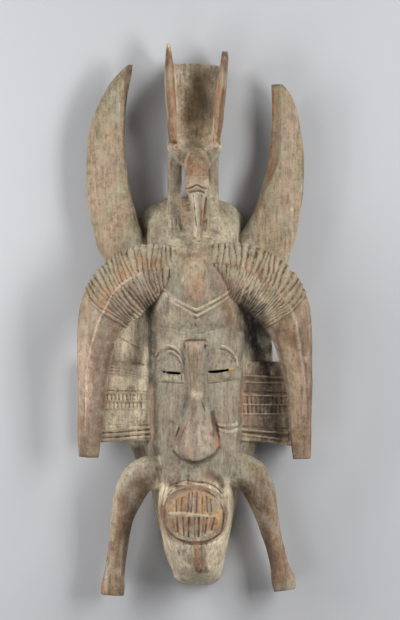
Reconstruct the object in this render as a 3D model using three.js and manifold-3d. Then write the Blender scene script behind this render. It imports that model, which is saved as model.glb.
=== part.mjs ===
// A dance mask carved from one block of wood, lying on its back with the face up.
// Millimetres. +X is the viewer's right, +Y the top of the crest, +Z out of the face, and z = 0 the back plane.
// Places are measured from the middle of the face, and the finished mask is centred on its own footprint at the end.
import * as THREE from 'three';
import { mergeVertices } from 'three/addons/utils/BufferGeometryUtils.js';
import Module from 'manifold-3d';

const wasm = await Module();
wasm.setup();

// Driving dimensions
const RIM_THICKNESS = 10; // the flared edge behind the face
const WALL_FALL = 2.2; // how quickly the side wall falls from the face to the rim
const FACE_ROUND = 2.4; // how flat the face stays before it turns at its edge
const RELIEF = 2; // lines raised on the face and ears
const EYES = [
  { side: -1, x: -28, y: -62.5, rise: -0.08 },
  { side: 1, x: 28, y: -60.5, rise: 0.11 },
];
const EYE = { length: 27, width: 2.8, lid: 14 };
const MOUTH = { x: -1, y: -232, halfWidth: 40, halfHeight: 34, toothPlate: 0.86 };
const LIP = { at: [-2, -188, 78], radii: [31, 17, 13], edge: -198 };
const TOOTH = { count: 9, pitch: 6.4, gap: 2.6, bar: 3 };
const RIBS = { left: 17, right: 16, depth: 2.8, from: 0.05, to: 0.46, skew: 0.25 };
const WOOD = { color: 0x9c8a72, roughness: 0.82, metalness: 0 };

// Values between stated stations, on a smooth curve: each row is a place and then its values
function through(rows) {
  const curve = new THREE.CubicInterpolant(
    rows.map((row) => row[0]),
    rows.flatMap((row) => row.slice(1)),
    rows[0].length - 1,
  );
  return (at) => Array.from(curve.evaluate(at));
}

// The stations' own places, each interval cut into equal parts
function places(rows, parts) {
  const stops = rows.map((row) => row[0]);
  return stops.slice(1).reduce(
    (all, stop, i) => all.concat(evenly(parts).map((f) => stops[i] + (stop - stops[i]) * f)),
    [stops[0]],
  );
}

function evenly(parts) {
  return Array.from({ length: parts }, (_, i) => (i + 1) / parts);
}

// A closed body over a row of rings, made by moving the points of a cylinder
function skin(rings) {
  const sides = rings[0].length;
  const steps = rings.length - 1;
  const body = new THREE.CylinderGeometry(1, 1, 1, sides, steps);
  const middles = rings.map((ring) =>
    ring.reduce((sum, point) => sum.add(point), new THREE.Vector3()).divideScalar(sides),
  );
  const points = body.attributes.position;
  for (let i = 0; i < points.count; i++) {
    const ring = Math.round((0.5 - points.getY(i)) * steps);
    const turn = Math.atan2(points.getX(i), points.getZ(i)) / (2 * Math.PI);
    const side = (Math.round(turn * sides) + sides) % sides;
    const onAxis = Math.hypot(points.getX(i), points.getZ(i)) < 0.5;
    const to = onAxis ? middles[ring] : rings[ring][side];
    points.setXYZ(i, to.x, to.y, to.z);
  }
  return body;
}

// A closed three.js geometry as a solid, with its faces turned out
function solid(geometry) {
  const bare = geometry.clone();
  bare.deleteAttribute('normal');
  bare.deleteAttribute('uv');
  const merged = mergeVertices(bare);
  const make = (triVerts) =>
    new wasm.Manifold(
      new wasm.Mesh({ numProp: 3, vertProperties: merged.attributes.position.array, triVerts }),
    );
  const triangles = new Uint32Array(merged.index.array);
  const made = make(triangles);
  return made.volume() > 0 ? made : make(triangles.reverse());
}

function joined(solids) {
  return solids.reduce((all, one) => all.add(one));
}

// A ring across the head at y: over the face, down the side walls to the flared rim, and flat behind
function ringAcross(y, values, fall) {
  const [outLeft, outRight, edgeLeft, edgeRight, edgeHeight, midHeight] = values;
  const rim = Math.min(RIM_THICKNESS, edgeHeight * 0.6);
  const half = (out, edge) => [
    ...[0.24, 0.47, 0.67, 0.85, 1].map(
      (f) => new THREE.Vector3(edge * f, y, midHeight - (midHeight - edgeHeight) * f ** FACE_ROUND),
    ),
    ...[0.1, 0.28, 0.56, 1].map(
      (f) => new THREE.Vector3(edge + (out - edge) * f, y, rim + (edgeHeight - rim) * (1 - f) ** fall),
    ),
    new THREE.Vector3(out, y, 0),
  ];
  return [
    new THREE.Vector3(0, y, midHeight),
    ...half(outRight, edgeRight),
    new THREE.Vector3(0, y, 0),
    ...half(outLeft, edgeLeft).reverse(),
  ];
}

// y, rim left and right, face edge left and right, height of the face edge, height of the middle
const HEAD = [
  [-212, -34, 32, -26, 26, 44, 62],
  [-202, -54, 52, -39, 37, 60, 82],
  [-185, -64, 60, -42, 41, 64, 86],
  [-168, -73, 67, -44, 44, 64, 86],
  [-146, -82, 76, -47, 48, 62, 84],
  [-120, -90, 84, -50, 51, 60, 82],
  [-90, -94, 89, -52, 53, 58, 80],
  [-62, -101, 92, -53, 54, 58, 79],
  [-30, -102, 92, -54, 55, 59, 80],
  [-12, -99, 91, -54, 55, 61, 82],
  [-2, -95, 90, -54, 54, 63, 89],
  [14, -94, 88, -53, 53, 64, 94],
  [36, -91, 84, -48, 48, 66, 99],
  [60, -87, 78, -44, 42, 66, 98],
  [80, -82, 72, -46, 40, 60, 88],
  [100, -77, 66, -54, 46, 46, 70],
  [118, -73, 59, -54, 50, 32, 52],
  [132, -62, 51, -48, 44, 22, 36],
  [142, -48, 38, -38, 32, 14, 22],
  [149, -28, 16, -24, 12, 9, 12],
];
const headAt = through(HEAD);

function faceHeight(x, y) {
  const [, , edgeLeft, edgeRight, edgeHeight, midHeight] = headAt(y);
  const across = Math.abs(x / (x < 0 ? edgeLeft : edgeRight));
  return midHeight - (midHeight - edgeHeight) * Math.min(across, 1) ** FACE_ROUND;
}

function head() {
  return solid(skin(places(HEAD, 1).map((y) => ringAcross(y, headAt(y), WALL_FALL))));
}

// The muzzle below the lip, which tapers to a rounded chin: the same columns as the head
const MUZZLE = [
  [-319, -14, 18, -9, 13, 28, 36],
  [-314, -23, 27, -16, 20, 36, 50],
  [-303, -30, 32, -22, 26, 46, 66],
  [-285, -37, 36, -29, 30, 56, 80],
  [-266, -42, 40, -34, 33, 64, 90],
  [-240, -48, 45, -39, 38, 70, 95],
  [-218, -53, 50, -42, 40, 70, 94],
  [-198, -54, 52, -41, 39, 62, 86],
  [-175, -50, 48, -36, 35, 54, 74],
];
const muzzleAt = through(MUZZLE);

function muzzleHeight(y) {
  return muzzleAt(y)[5];
}

function muzzle() {
  return solid(skin(places(MUZZLE, 1).map((y) => ringAcross(y, muzzleAt(y), 1.2))));
}

// The hollow behind the face: y, half width left and right, height
const HOLLOW = [
  [-242, 20, 20, 26],
  [-234, 30, 28, 50],
  [-205, 36, 34, 66],
  [-170, 50, 46, 69],
  [-130, 60, 55, 67],
  [-62, 64, 60, 64],
  [0, 64, 60, 70],
  [40, 60, 55, 80],
  [75, 54, 46, 70],
  [98, 44, 36, 46],
  [112, 26, 20, 22],
];
const hollowAt = through(HOLLOW);

function hollow() {
  const arch = [[1, -0.05], [0.94, 0.3], [0.78, 0.6], [0.58, 0.84], [0.3, 0.97]];
  const ring = (y) => {
    const [left, right, height] = hollowAt(y);
    const half = (reach) => arch.map(([f, g]) => new THREE.Vector3(reach * f, y, height * g));
    return [...half(right), new THREE.Vector3(0, y, height), ...half(-left).reverse()];
  };
  return solid(skin(places(HOLLOW, 1).map(ring)));
}

// A raised line over the face: points of x and y, seated on the surface that height() gives
function line(points, width, proud, height, steps) {
  const course = new THREE.CatmullRomCurve3(points.map(([x, y]) => new THREE.Vector3(x, y, 0)));
  const rings = [];
  for (let i = 0; i <= steps; i++) {
    const at = course.getPoint(i / steps);
    const along = course.getTangent(i / steps);
    const side = new THREE.Vector3(-along.y, along.x, 0).multiplyScalar(width / 2);
    const z = height(at.x, at.y);
    rings.push([
      at.clone().add(side).setZ(z - RELIEF * 2),
      at.clone().setZ(z + proud),
      at.clone().sub(side).setZ(z - RELIEF * 2),
    ]);
  }
  return solid(skin(rings));
}

// Two parallel lines cross the forehead in a shallow V
const CHEVRON = [[-41, 34], [-30, 27], [-16, 18], [0, 11], [14, 17], [28, 24], [40, 32]];
const CHEVRON_STEP = 8;

function chevrons() {
  return [0, 1].map((n) =>
    line(CHEVRON.map(([x, y]) => [x, y - n * CHEVRON_STEP]), 4, RELIEF, faceHeight, 12),
  );
}

// The lozenge above the lines rises to a low ridge: its corners, joined by points along its sides
const LOZENGE = [[0, 66], [16, 42], [0, 15], [-16, 42]];

function lozenge() {
  const middle = [0, 41];
  const side = ([x, y], i) => {
    const [toX, toY] = LOZENGE[(i + 1) % LOZENGE.length];
    return [0, 1 / 3, 2 / 3].map((f) => [x + (toX - x) * f, y + (toY - y) * f]);
  };
  const rim = LOZENGE.flatMap(side);
  const ring = (grow, lift) =>
    rim.map(([x, y]) => {
      const at = [middle[0] + (x - middle[0]) * grow, middle[1] + (y - middle[1]) * grow];
      return new THREE.Vector3(...at, faceHeight(...at) + lift);
    });
  return solid(skin([ring(1, -5), ring(1, 0.6), ring(0.5, 2.6), ring(0.1, 4.2)]));
}

// Tall brow arcs, heavy upper lid and flat lower lid of one eye; side is -1 at the left
const BROW = { out: 3, halfWidth: 17.5, height: 25, step: 3.6 };

function eye({ side, x, y }) {
  const arc = (inward) =>
    evenly(6)
      .map((f) => Math.PI * (1.04 * f - 0.1))
      .map((turn) => [
        x + side * BROW.out + (BROW.halfWidth - inward) * Math.cos(turn),
        y + 4 + (BROW.height - inward) * Math.sin(turn),
      ]);
  const lid = new THREE.SphereGeometry(1, 12, 8).rotateX(Math.PI / 2).scale(EYE.lid, EYE.lid + 3, 8);
  lid.rotateY(side * 0.3).translate(x, y, faceHeight(x, y) - 3);
  const below = new THREE.BoxGeometry(60, 40, 60).translate(x, y - 20, 80);
  const lower = new THREE.BoxGeometry(EYE.length, 9, 8).rotateY(side * 0.3);
  lower.translate(x, y - 7, faceHeight(x, y) - 3);
  return [
    solid(lid).subtract(solid(below)),
    solid(lower),
    ...[0, BROW.step].map((inward) => line(arc(inward), 2.8, RELIEF, faceHeight, 9)),
  ];
}

function eyeSlit({ x, y, rise }) {
  const slit = new THREE.BoxGeometry(EYE.length, EYE.width, 90).rotateZ(rise);
  return solid(slit.translate(x, y, 75));
}

// y, left and right edge of the nose, how far its ridge stands off the face
const NOSE = [
  [-169, -12, 13, 17],
  [-165, -21, 22, 22],
  [-156, -27, 28, 25],
  [-148, -28, 29, 25],
  [-132, -19, 24, 22],
  [-112, -12, 17, 18],
  [-96, -8, 10, 14],
  [-86, -7, 6, 9],
  [-60, -9, 7, 9],
  [-38, -13, 9, 8],
  [-25, -14, 10, 7],
];
const noseAt = through(NOSE);

function nose() {
  const ring = (y) => {
    const [left, right, proud] = noseAt(y);
    const z = headAt(y)[5];
    const corner = (x, lift) => new THREE.Vector3(x, y, z + lift);
    const flank = Math.min(8, proud * 0.4);
    return [
      corner(0, proud),
      corner(right * 0.3, proud * 0.92),
      corner(right * 0.72, proud * 0.5 + 1),
      corner(right, proud * 0.2),
      corner(right, -flank - 4),
      corner(left, -flank - 4),
      corner(left, proud * 0.2),
      corner(left * 0.72, proud * 0.5 + 1),
      corner(left * 0.3, proud * 0.92),
    ];
  };
  return solid(skin(places(NOSE, 1).map(ring)));
}

// The bared mouth: an oval rim round a plate of teeth in two rows, with a bar between them
function mouthPlace(x, y, lift) {
  return new THREE.Vector3(MOUTH.x + x, MOUTH.y + y, muzzleHeight(MOUTH.y + y * 0.8) + lift);
}

function mouth() {
  const round = 20;
  const oval = (grow, lift) =>
    evenly(round).map((f) => {
      const turn = 2 * Math.PI * f;
      return mouthPlace(
        MOUTH.halfWidth * grow * Math.sin(turn),
        MOUTH.halfHeight * grow * Math.cos(turn),
        lift,
      );
    });
  const wide = skin([oval(0.9, -26), oval(1.0, -26), oval(0.99, 1), oval(0.94, 4), oval(0.89, 1), oval(0.5, 0)]);
  const plate = skin([oval(0.5, -20), oval(MOUTH.toothPlate, -20), oval(MOUTH.toothPlate, 2), oval(0.76, 5.5), oval(0.4, 7)]);
  const gaps = [];
  for (let i = 0; i < TOOTH.count; i++) {
    const x = (i - (TOOTH.count - 1) / 2) * TOOTH.pitch;
    const reach = 0.74 * MOUTH.halfHeight * Math.sqrt(1 - (x / (0.82 * MOUTH.halfWidth)) ** 2);
    for (const side of [-1, 1]) {
      const high = reach - TOOTH.bar / 2;
      const cut = new THREE.BoxGeometry(TOOTH.gap, high, 10);
      const at = mouthPlace(x, side * (TOOTH.bar / 2 + high / 2), 7.5);
      gaps.push(solid(cut.translate(at.x, at.y, at.z)));
    }
  }
  return solid(wide).add(solid(plate)).subtract(joined(gaps));
}

// The swelling over the mouth, cut off square above the teeth
function lip() {
  const swelling = new THREE.SphereGeometry(1, 14, 8).rotateX(Math.PI / 2).scale(...LIP.radii);
  const below = new THREE.BoxGeometry(80, 40, 60).translate(LIP.at[0], LIP.edge - 20, LIP.at[2]);
  return solid(swelling.translate(...LIP.at)).subtract(solid(below));
}

// The short tongue that hangs from the mouth's rim: y, left and right, how far it stands off the chin
function tongue() {
  const rows = [[-303, -2, 10, 3], [-298, -4, 12, 5], [-280, -4, 8, 5], [-264, -3, 6, 4]];
  const at = through(rows);
  const ring = (y) => {
    const [left, right, proud] = at(y);
    const z = muzzleHeight(y);
    return [
      new THREE.Vector3(left, y, z - 12),
      new THREE.Vector3(left, y, z + proud * 0.6),
      new THREE.Vector3((left + right) / 2, y, z + proud),
      new THREE.Vector3(right, y, z + proud * 0.6),
      new THREE.Vector3(right, y, z - 12),
    ];
  };
  return solid(skin(places(rows, 2).map(ring)));
}

// Ear panels: x, top, bottom, height of the front. They are the same thickness all over, and raised
// bands run along their fronts at these parts of the way from top to bottom.
const EAR_THICKNESS = 12;
const EARS = {
  left: [[-126, -49, -149, 28], [-100, -50, -147, 33], [-74, -53, -146, 38], [-50, -56, -146, 44]],
  right: [[50, -50, -146, 44], [74, -50, -147, 38], [100, -50, -150, 33], [126, -50, -154, 28]],
};
const EAR_BANDS = [0.05, 0.14, 0.34, 0.45, 0.56, 0.84, 0.9, 0.96];

function ear(rows) {
  const ring = ([x, top, bottom, front]) => {
    const corner = (f, lift) => new THREE.Vector3(x, top + (bottom - top) * f, front + lift);
    const band = (f) => [corner(f - 0.02, 0), corner(f, RELIEF), corner(f + 0.02, 0)];
    return [...EAR_BANDS.flatMap(band), corner(1, -3), corner(1, -EAR_THICKNESS), corner(0, -EAR_THICKNESS), corner(0, -3)];
  };
  return solid(skin(rows.map(ring)));
}

// A limb along a smooth line: place() turns its lateral and front offsets into points at each step
function limb(centres, stops, outline) {
  const course = new THREE.CatmullRomCurve3(centres.map((at) => new THREE.Vector3(...at)));
  const up = new THREE.Vector3(0, 0, 1);
  const rings = stops.map((t) => {
    const at = course.getPoint(t);
    const along = course.getTangent(t);
    const lateral = new THREE.Vector3().crossVectors(along, up).normalize();
    const front = new THREE.Vector3().crossVectors(lateral, along).normalize();
    return outline(t).map(([across, lift, slip = 0]) =>
      at.clone().addScaledVector(lateral, across).addScaledVector(front, lift).addScaledVector(along, slip),
    );
  });
  return solid(skin(rings));
}

// The two ridged horns that curl down beside the face: centre line, then half width and depth behind.
// The long ridge lies at these parts of the half width, among the ribs and past them.
const CURLED = {
  left: [
    [-12, 62, 72, 20, 30], [-31, 63, 76, 25, 40], [-54, 60, 76, 31.5, 44], [-74, 49, 73, 35.5, 42],
    [-93, 32, 70, 37, 34], [-108, 11, 66, 32.5, 20], [-118, -18, 63, 25.5, 12], [-122, -48, 60, 21, 10],
    [-124, -78, 58, 18, 9], [-126, -108, 56, 16.5, 8.5], [-128, -138, 54, 15, 8], [-129, -165, 53, 11.8, 7],
  ],
  right: [
    [9, 65, 72, 20, 30], [28, 66, 76, 25, 40], [50, 62, 76, 31, 44], [69, 51, 73, 35, 42],
    [89, 36, 70, 35.5, 34], [105, 13, 66, 32, 20], [115, -18, 63, 25, 12], [120, -48, 60, 20, 10],
    [124, -78, 58, 16.5, 9], [125, -108, 56, 14.5, 8.5], [126, -138, 54, 13.2, 8], [127, -167, 53, 11, 7],
  ],
};
const LONG_RIDGE = { ribbed: 0.06, left: 0.32, right: 0.45 };

function curledHorn(rows, ribs, side, ridgePast) {
  const sizes = through(rows.map((row, i) => [i / (rows.length - 1), row[3], row[4]]));
  const pitch = (RIBS.to - RIBS.from) / ribs;
  const ribbed = evenly(ribs).flatMap((f) => {
    const crest = RIBS.from + (RIBS.to - RIBS.from) * f - pitch / 2;
    return [[crest - pitch / 2, RIBS.depth], [crest, 0]];
  });
  const plain = evenly(8).map((f) => [RIBS.to + (1 - RIBS.to) * f, 0]);
  const steps = [[0, 0], ...ribbed, [RIBS.to, RIBS.depth], [RIBS.to + 0.01, 0], ...plain];
  const cut = new Map(steps);
  const outline = (t) => {
    const [half, back] = sizes(t);
    const past = THREE.MathUtils.smoothstep(t, 0.35, 0.65);
    const ridge = LONG_RIDGE.ribbed + (ridgePast - LONG_RIDGE.ribbed) * past;
    const high = half * 0.55;
    const groove = cut.get(t);
    const front = [[0.96, 0.1], [0.6 + ridge * 0.4, 0.6], [ridge, 1], [ridge - 0.4, 0.8], [-0.66, 0.5], [-0.96, 0.1]];
    const behind = [[-0.92, -0.4], [-0.5, -0.9], [0, -1], [0.5, -0.9], [0.92, -0.4]];
    return [
      ...front.map(([f, g]) => [f * (half - groove), g * high - groove]),
      ...behind.map(([f, g]) => [f * half, g * back]),
    ].map(([across, lift]) => [side * across, lift, -RIBS.skew * Math.sin(Math.PI * t) * across]);
  };
  return limb(rows.map((row) => row.slice(0, 3)), steps.map(([t]) => t), outline);
}

// The two flat horns that rise beside the crest: y, outer and inner edge, height of the middle, half thickness
const BROAD = {
  left: [
    [62, -104, -46, 26, 14], [90, -120, -58, 24, 14], [108, -124, -66, 24, 13.5], [132, -130, -73, 24, 13],
    [156, -133, -79, 24, 12], [180, -133, -83, 25, 11.5], [204, -132, -85, 26, 11], [222, -130, -86, 27, 10.5],
    [240, -125, -85, 28, 10], [258, -119, -84, 29, 9.5], [274, -111, -82, 30, 9], [288, -102, -79, 31, 8.5],
    [300, -91, -77, 32, 8], [308, -82, -75.5, 33, 6.5],
  ],
  right: [
    [62, 34, 108, 26, 14], [90, 48, 118, 24, 14], [108, 56.5, 122, 24, 13.5], [126, 67, 125, 24, 13],
    [144, 74, 128, 24, 12], [162, 80, 130, 24, 12], [178, 85, 131, 25, 11.5], [192, 88, 131, 26, 11],
    [210, 90, 130, 27, 10.5], [228, 91, 127, 28, 10], [246, 92, 123.5, 29, 9.5], [262, 91.5, 119, 30, 9],
    [274, 91, 113, 31, 8.5], [284, 90.5, 104, 32, 7],
  ],
};

function broadHorn(rows) {
  const at = through(rows);
  const ring = (y) => {
    const [low, high, middle, half] = at(y);
    const outer = Math.abs(low) > Math.abs(high) ? low : high;
    const inner = outer === low ? high : low;
    const across = (f, g) => new THREE.Vector3(outer + (inner - outer) * f, y, middle + half * g);
    return [
      across(0, 0), across(0.12, 0.5), across(0.42, 0.95), across(0.78, 1), across(1, 0.2),
      across(1, -0.5), across(0.75, -0.85), across(0.35, -0.8), across(0.1, -0.45),
    ];
  };
  return solid(skin(rows.map(([y]) => ring(y))));
}

// The two bent legs that stand out below the ears: centre line, then radius
const LEGS = {
  left: [
    [-30, -182, 50, 20], [-46, -183, 48, 21], [-59, -185, 46, 21], [-71, -193, 44, 20.5], [-80, -210, 41, 19],
    [-88, -234, 37, 14.5], [-92, -258, 34, 12.5], [-95, -282, 32, 12], [-98.3, -306, 31, 12.6], [-100, -320, 31, 14.6],
    [-100.6, -331, 31, 14],
  ],
  right: [
    [28, -178, 50, 20], [43, -178, 48, 21], [56, -182, 46, 21], [68, -190, 44, 20.5], [77, -207, 41, 19],
    [85, -234, 37, 14.5], [91, -258, 34, 12], [96.5, -278, 32, 11.3], [101, -298, 31, 12], [105, -314, 31, 14.4],
    [107, -325, 31, 13.4],
  ],
};

function leg(rows) {
  const sizes = through(rows.map((row, i) => [i / (rows.length - 1), row[3]]));
  const sides = 9;
  return limb(
    rows.map((row) => row.slice(0, 3)),
    [0, ...evenly(13)],
    (t) => evenly(sides).map((f) => {
      const radius = sizes(t)[0];
      return [radius * Math.cos(2 * Math.PI * f), 0.92 * radius * Math.sin(2 * Math.PI * f)];
    }),
  );
}

// A loft along y through four-sided or rounded sections: y, left, right, back, front, height of the front's middle
function slab(rows, parts) {
  const at = through(rows);
  const ring = (y) => {
    const [left, right, back, front, middle] = at(y);
    const spot = (f, z) => new THREE.Vector3(left + (right - left) * f, y, z);
    const between = front + (middle - front) * 0.75;
    return [
      spot(0, back + 1), spot(0, front), spot(0.25, between), spot(0.5, middle), spot(0.75, between),
      spot(1, front), spot(1, back + 1), spot(0.85, back), spot(0.15, back),
    ];
  };
  return solid(skin(places(rows, parts).map(ring)));
}

// The bird on the crest, bowed so that its beak rests on the forehead
const BIRD = {
  back: [
    [200, -34, 26, 12, 34, 40], [214, -32, 22, 8, 30, 30], [228, -33, 22, 6, 26, 17], [250, -34, 24, 6, 22, 12],
    [280, -33, 27, 6, 20, 12], [302, -32, 30, 7, 18, 13], [308, -31, 30, 8, 16, 14],
  ],
  wings: [
    [[214, -33, -23, 14, 46, 50], [222, -34, -23, 10, 50, 55], [234, -35, -23, 8, 52, 58], [264, -37, -24, 8, 52, 58],
      [294, -38, -26, 10, 50, 56], [312, -37, -28, 20, 46, 51], [326, -36, -30, 30, 43, 47], [333, -35, -31, 35, 41, 43]],
    [[214, 18, 28, 14, 46, 50], [222, 19, 30, 10, 50, 55], [234, 20, 32, 8, 52, 58], [264, 22, 35, 8, 52, 58],
      [290, 26, 38, 10, 50, 56], [308, 29, 39, 20, 46, 51], [318, 30, 39, 28, 43, 47], [324, 31.5, 38, 34, 41, 43]],
  ],
  body: [
    [180, -11, 15, 34, 48, 52], [187, -19, 20, 24, 46, 48], [196, -29, 27, 16, 45, 42], [205, -36, 31, 12, 42, 34],
    [213, -36, 31, 10, 36, 26], [220, -34, 28, 8, 28, 20],
  ],
  knobs: [[-25, 211, 46, 5.5], [23, 212, 46, 5.5]],
  neck: [
    [1, 222, 14, 11, 11], [1.2, 202, 38, 14, 13], [1.6, 182, 58, 13.6, 15], [1, 168, 68, 14.6, 15],
    [1, 158, 73, 14.6, 14], [1.2, 150, 76, 11, 11], [2, 132, 81, 7.5, 8], [3, 113, 85, 4.8, 6], [3.8, 94, 89, 2.6, 5],
  ],
  legs: [
    [[-26, 200, 30, 8.5, 9], [-26, 176, 26, 8.5, 9], [-26, 152, 24, 8.5, 9], [-26, 132, 36, 8.5, 10],
      [-26, 118, 52, 8.5, 10], [-26, 106, 66, 9, 8]],
    [[21, 200, 30, 7, 9], [20.4, 176, 26, 7, 9], [20.4, 152, 24, 7, 9], [20.6, 132, 36, 7, 10],
      [21, 118, 52, 7, 10], [21, 106, 66, 8, 8]],
  ],
};

// A limb whose rows hold its centre, half width and half depth
function roundLimb(rows, sides, steps) {
  const sizes = through(rows.map((row, i) => [i / (rows.length - 1), row[3], row[4]]));
  return limb(
    rows.map((row) => row.slice(0, 3)),
    [0, ...evenly(steps)],
    (t) => evenly(sides).map((f) => {
      const [across, deep] = sizes(t);
      return [across * Math.cos(2 * Math.PI * f), deep * Math.sin(2 * Math.PI * f)];
    }),
  );
}

function bird() {
  const knob = ([x, y, z, radius]) => solid(new THREE.SphereGeometry(radius, 8, 6).translate(x, y, z));
  return [
    slab(BIRD.back, 1),
    ...BIRD.wings.map((rows) => slab(rows, 1)),
    slab(BIRD.body, 1),
    ...BIRD.knobs.map(knob),
    roundLimb(BIRD.neck, 8, 14),
    ...BIRD.legs.map((rows) => roundLimb(rows, 6, 6)),
  ];
}

// Every form is joined into the one block, and then the hollow and the eyes are cut
function carving() {
  const block = joined([
    head(), muzzle(), nose(), lip(), mouth(), tongue(), lozenge(), ...chevrons(), ...EYES.flatMap(eye),
    ear(EARS.left), ear(EARS.right),
    curledHorn(CURLED.left, RIBS.left, 1, LONG_RIDGE.left), curledHorn(CURLED.right, RIBS.right, -1, LONG_RIDGE.right),
    broadHorn(BROAD.left), broadHorn(BROAD.right), leg(LEGS.left), leg(LEGS.right), ...bird(),
  ]);
  return block.subtract(joined([hollow(), ...EYES.map(eyeSlit)]));
}

function geometryOf(carved) {
  const mesh = carved.getMesh();
  const points = new Float32Array(mesh.numVert * 3);
  for (let i = 0; i < mesh.numVert; i++) {
    points.set(mesh.vertProperties.subarray(i * mesh.numProp, i * mesh.numProp + 3), i * 3);
  }
  const geometry = new THREE.BufferGeometry();
  geometry.setAttribute('position', new THREE.BufferAttribute(points, 3));
  geometry.setIndex(new THREE.BufferAttribute(mesh.triVerts, 1));
  return geometry;
}

const mask = new THREE.Mesh(geometryOf(carving()), new THREE.MeshStandardMaterial(WOOD));
mask.name = 'mask';
mask.geometry.computeBoundingBox();
const middle = mask.geometry.boundingBox.getCenter(new THREE.Vector3());
mask.position.set(-middle.x, -middle.y, -mask.geometry.boundingBox.min.z);

const danceMask = new THREE.Group();
danceMask.add(mask);

export default danceMask;
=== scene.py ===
"""A dance mask carved from one block of wood, lying on its back, seen from above.

The carving is one closed surface. Plain forms are bent from sheets of quads and melted into one block. The
hollow and the eyes are cut from it, and then the fine carving moves its surface. Sizes are in millimetres
from the middle of the face until the finished surface goes to its place in the frame.
"""
import math

import bmesh
import bpy
import numpy as np
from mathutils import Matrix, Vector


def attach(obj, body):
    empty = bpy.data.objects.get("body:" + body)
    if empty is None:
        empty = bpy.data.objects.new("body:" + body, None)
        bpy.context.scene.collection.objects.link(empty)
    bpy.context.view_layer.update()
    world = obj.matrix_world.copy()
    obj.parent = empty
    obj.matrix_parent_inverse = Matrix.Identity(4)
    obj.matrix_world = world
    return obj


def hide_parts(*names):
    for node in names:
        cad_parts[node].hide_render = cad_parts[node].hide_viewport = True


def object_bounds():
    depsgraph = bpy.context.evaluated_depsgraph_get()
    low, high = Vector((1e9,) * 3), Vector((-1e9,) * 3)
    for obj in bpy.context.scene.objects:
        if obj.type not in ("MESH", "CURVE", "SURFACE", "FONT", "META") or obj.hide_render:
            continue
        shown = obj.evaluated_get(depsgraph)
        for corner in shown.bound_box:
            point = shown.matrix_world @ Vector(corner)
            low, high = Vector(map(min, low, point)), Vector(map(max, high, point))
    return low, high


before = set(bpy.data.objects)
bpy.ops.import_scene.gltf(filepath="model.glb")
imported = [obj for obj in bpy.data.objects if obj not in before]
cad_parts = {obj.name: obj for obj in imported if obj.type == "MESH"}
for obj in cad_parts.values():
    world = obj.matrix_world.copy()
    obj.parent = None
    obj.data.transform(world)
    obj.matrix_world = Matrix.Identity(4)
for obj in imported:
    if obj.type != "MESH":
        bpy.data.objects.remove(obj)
cad_low, cad_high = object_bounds()

# Where the middle of the face lies, measured from the middle of the solid
MM = 0.001
FACE_FROM_CENTRE = (1.3, -0.7)
FACE = np.array(
    [
        (cad_low.x + cad_high.x) / 2 / MM + FACE_FROM_CENTRE[0],
        (cad_low.y + cad_high.y) / 2 / MM + FACE_FROM_CENTRE[1],
        cad_low.z / MM,
    ]
)
# How fine the carved surface is, and how wide the surroundings are that its cuts and edges are judged by
GRAIN_OF_SURFACE = 1.0
MOST_TRIANGLES = 190000
FINE_ROUND, BROAD_ROUND = 3, 24
# Points nearer than this are one point
SEAM = 0.001

# The head: y, then rim left and right, face edge left and right, height of the face edge and of the middle
HEAD = [
    [-212, -34, 32, -26, 26, 44, 62],
    [-202, -54, 52, -39, 37, 60, 82],
    [-185, -64, 60, -42, 41, 64, 86],
    [-168, -73, 67, -44, 44, 64, 86],
    [-146, -82, 76, -47, 48, 62, 84],
    [-120, -90, 84, -50, 51, 60, 82],
    [-90, -94, 89, -52, 53, 58, 80],
    [-62, -101, 92, -53, 54, 58, 79],
    [-30, -102, 92, -54, 55, 59, 80],
    [-12, -99, 91, -54, 55, 61, 82],
    [-2, -95, 90, -54, 54, 63, 89],
    [14, -94, 88, -53, 53, 64, 94],
    [36, -91, 84, -48, 48, 66, 99],
    [60, -87, 78, -44, 42, 66, 98],
    [80, -82, 72, -46, 40, 60, 88],
    [100, -77, 66, -54, 46, 46, 70],
    [118, -73, 59, -54, 50, 32, 52],
    [132, -62, 51, -48, 44, 22, 36],
    [142, -48, 38, -38, 32, 14, 22],
    [149, -28, 16, -24, 12, 9, 12],
]
# The muzzle below the lip, in the same columns
MUZZLE = [
    [-319, -17, 21.5, -13, 17, 28, 36],
    [-316, -22, 26.4, -17, 21, 34, 46],
    [-303, -28.5, 31.5, -22, 26, 46, 66],
    [-285, -37, 36, -29, 30, 56, 80],
    [-266, -42, 40, -34, 33, 64, 90],
    [-240, -48, 45, -39, 38, 70, 95],
    [-218, -53, 50, -42, 40, 70, 94],
    [-198, -54, 52, -41, 39, 62, 86],
    [-175, -50, 48, -36, 35, 54, 74],
]
# The hollow behind: y, half width to the left and right, height
HOLLOW = [
    [-242, 20, 20, 26],
    [-234, 30, 28, 50],
    [-205, 36, 34, 66],
    [-170, 50, 46, 69],
    [-130, 60, 55, 67],
    [-62, 64, 60, 64],
    [0, 64, 60, 70],
    [40, 60, 55, 80],
    [75, 54, 46, 70],
    [98, 44, 36, 46],
    [112, 26, 20, 22],
]
# The part of a turn that goes over the front, before the flat back, and how half the front is shared out
FRONT = 0.8
FACE_SHARE = 0.55
WALL_SHARE = 0.39
# Height of the rim, how the walls fall to it, and how round the face is
RIM = 10
WALL_FALL = {"head": 2.2, "muzzle": 1.2}
FACE_ROUND = 2.4
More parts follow.
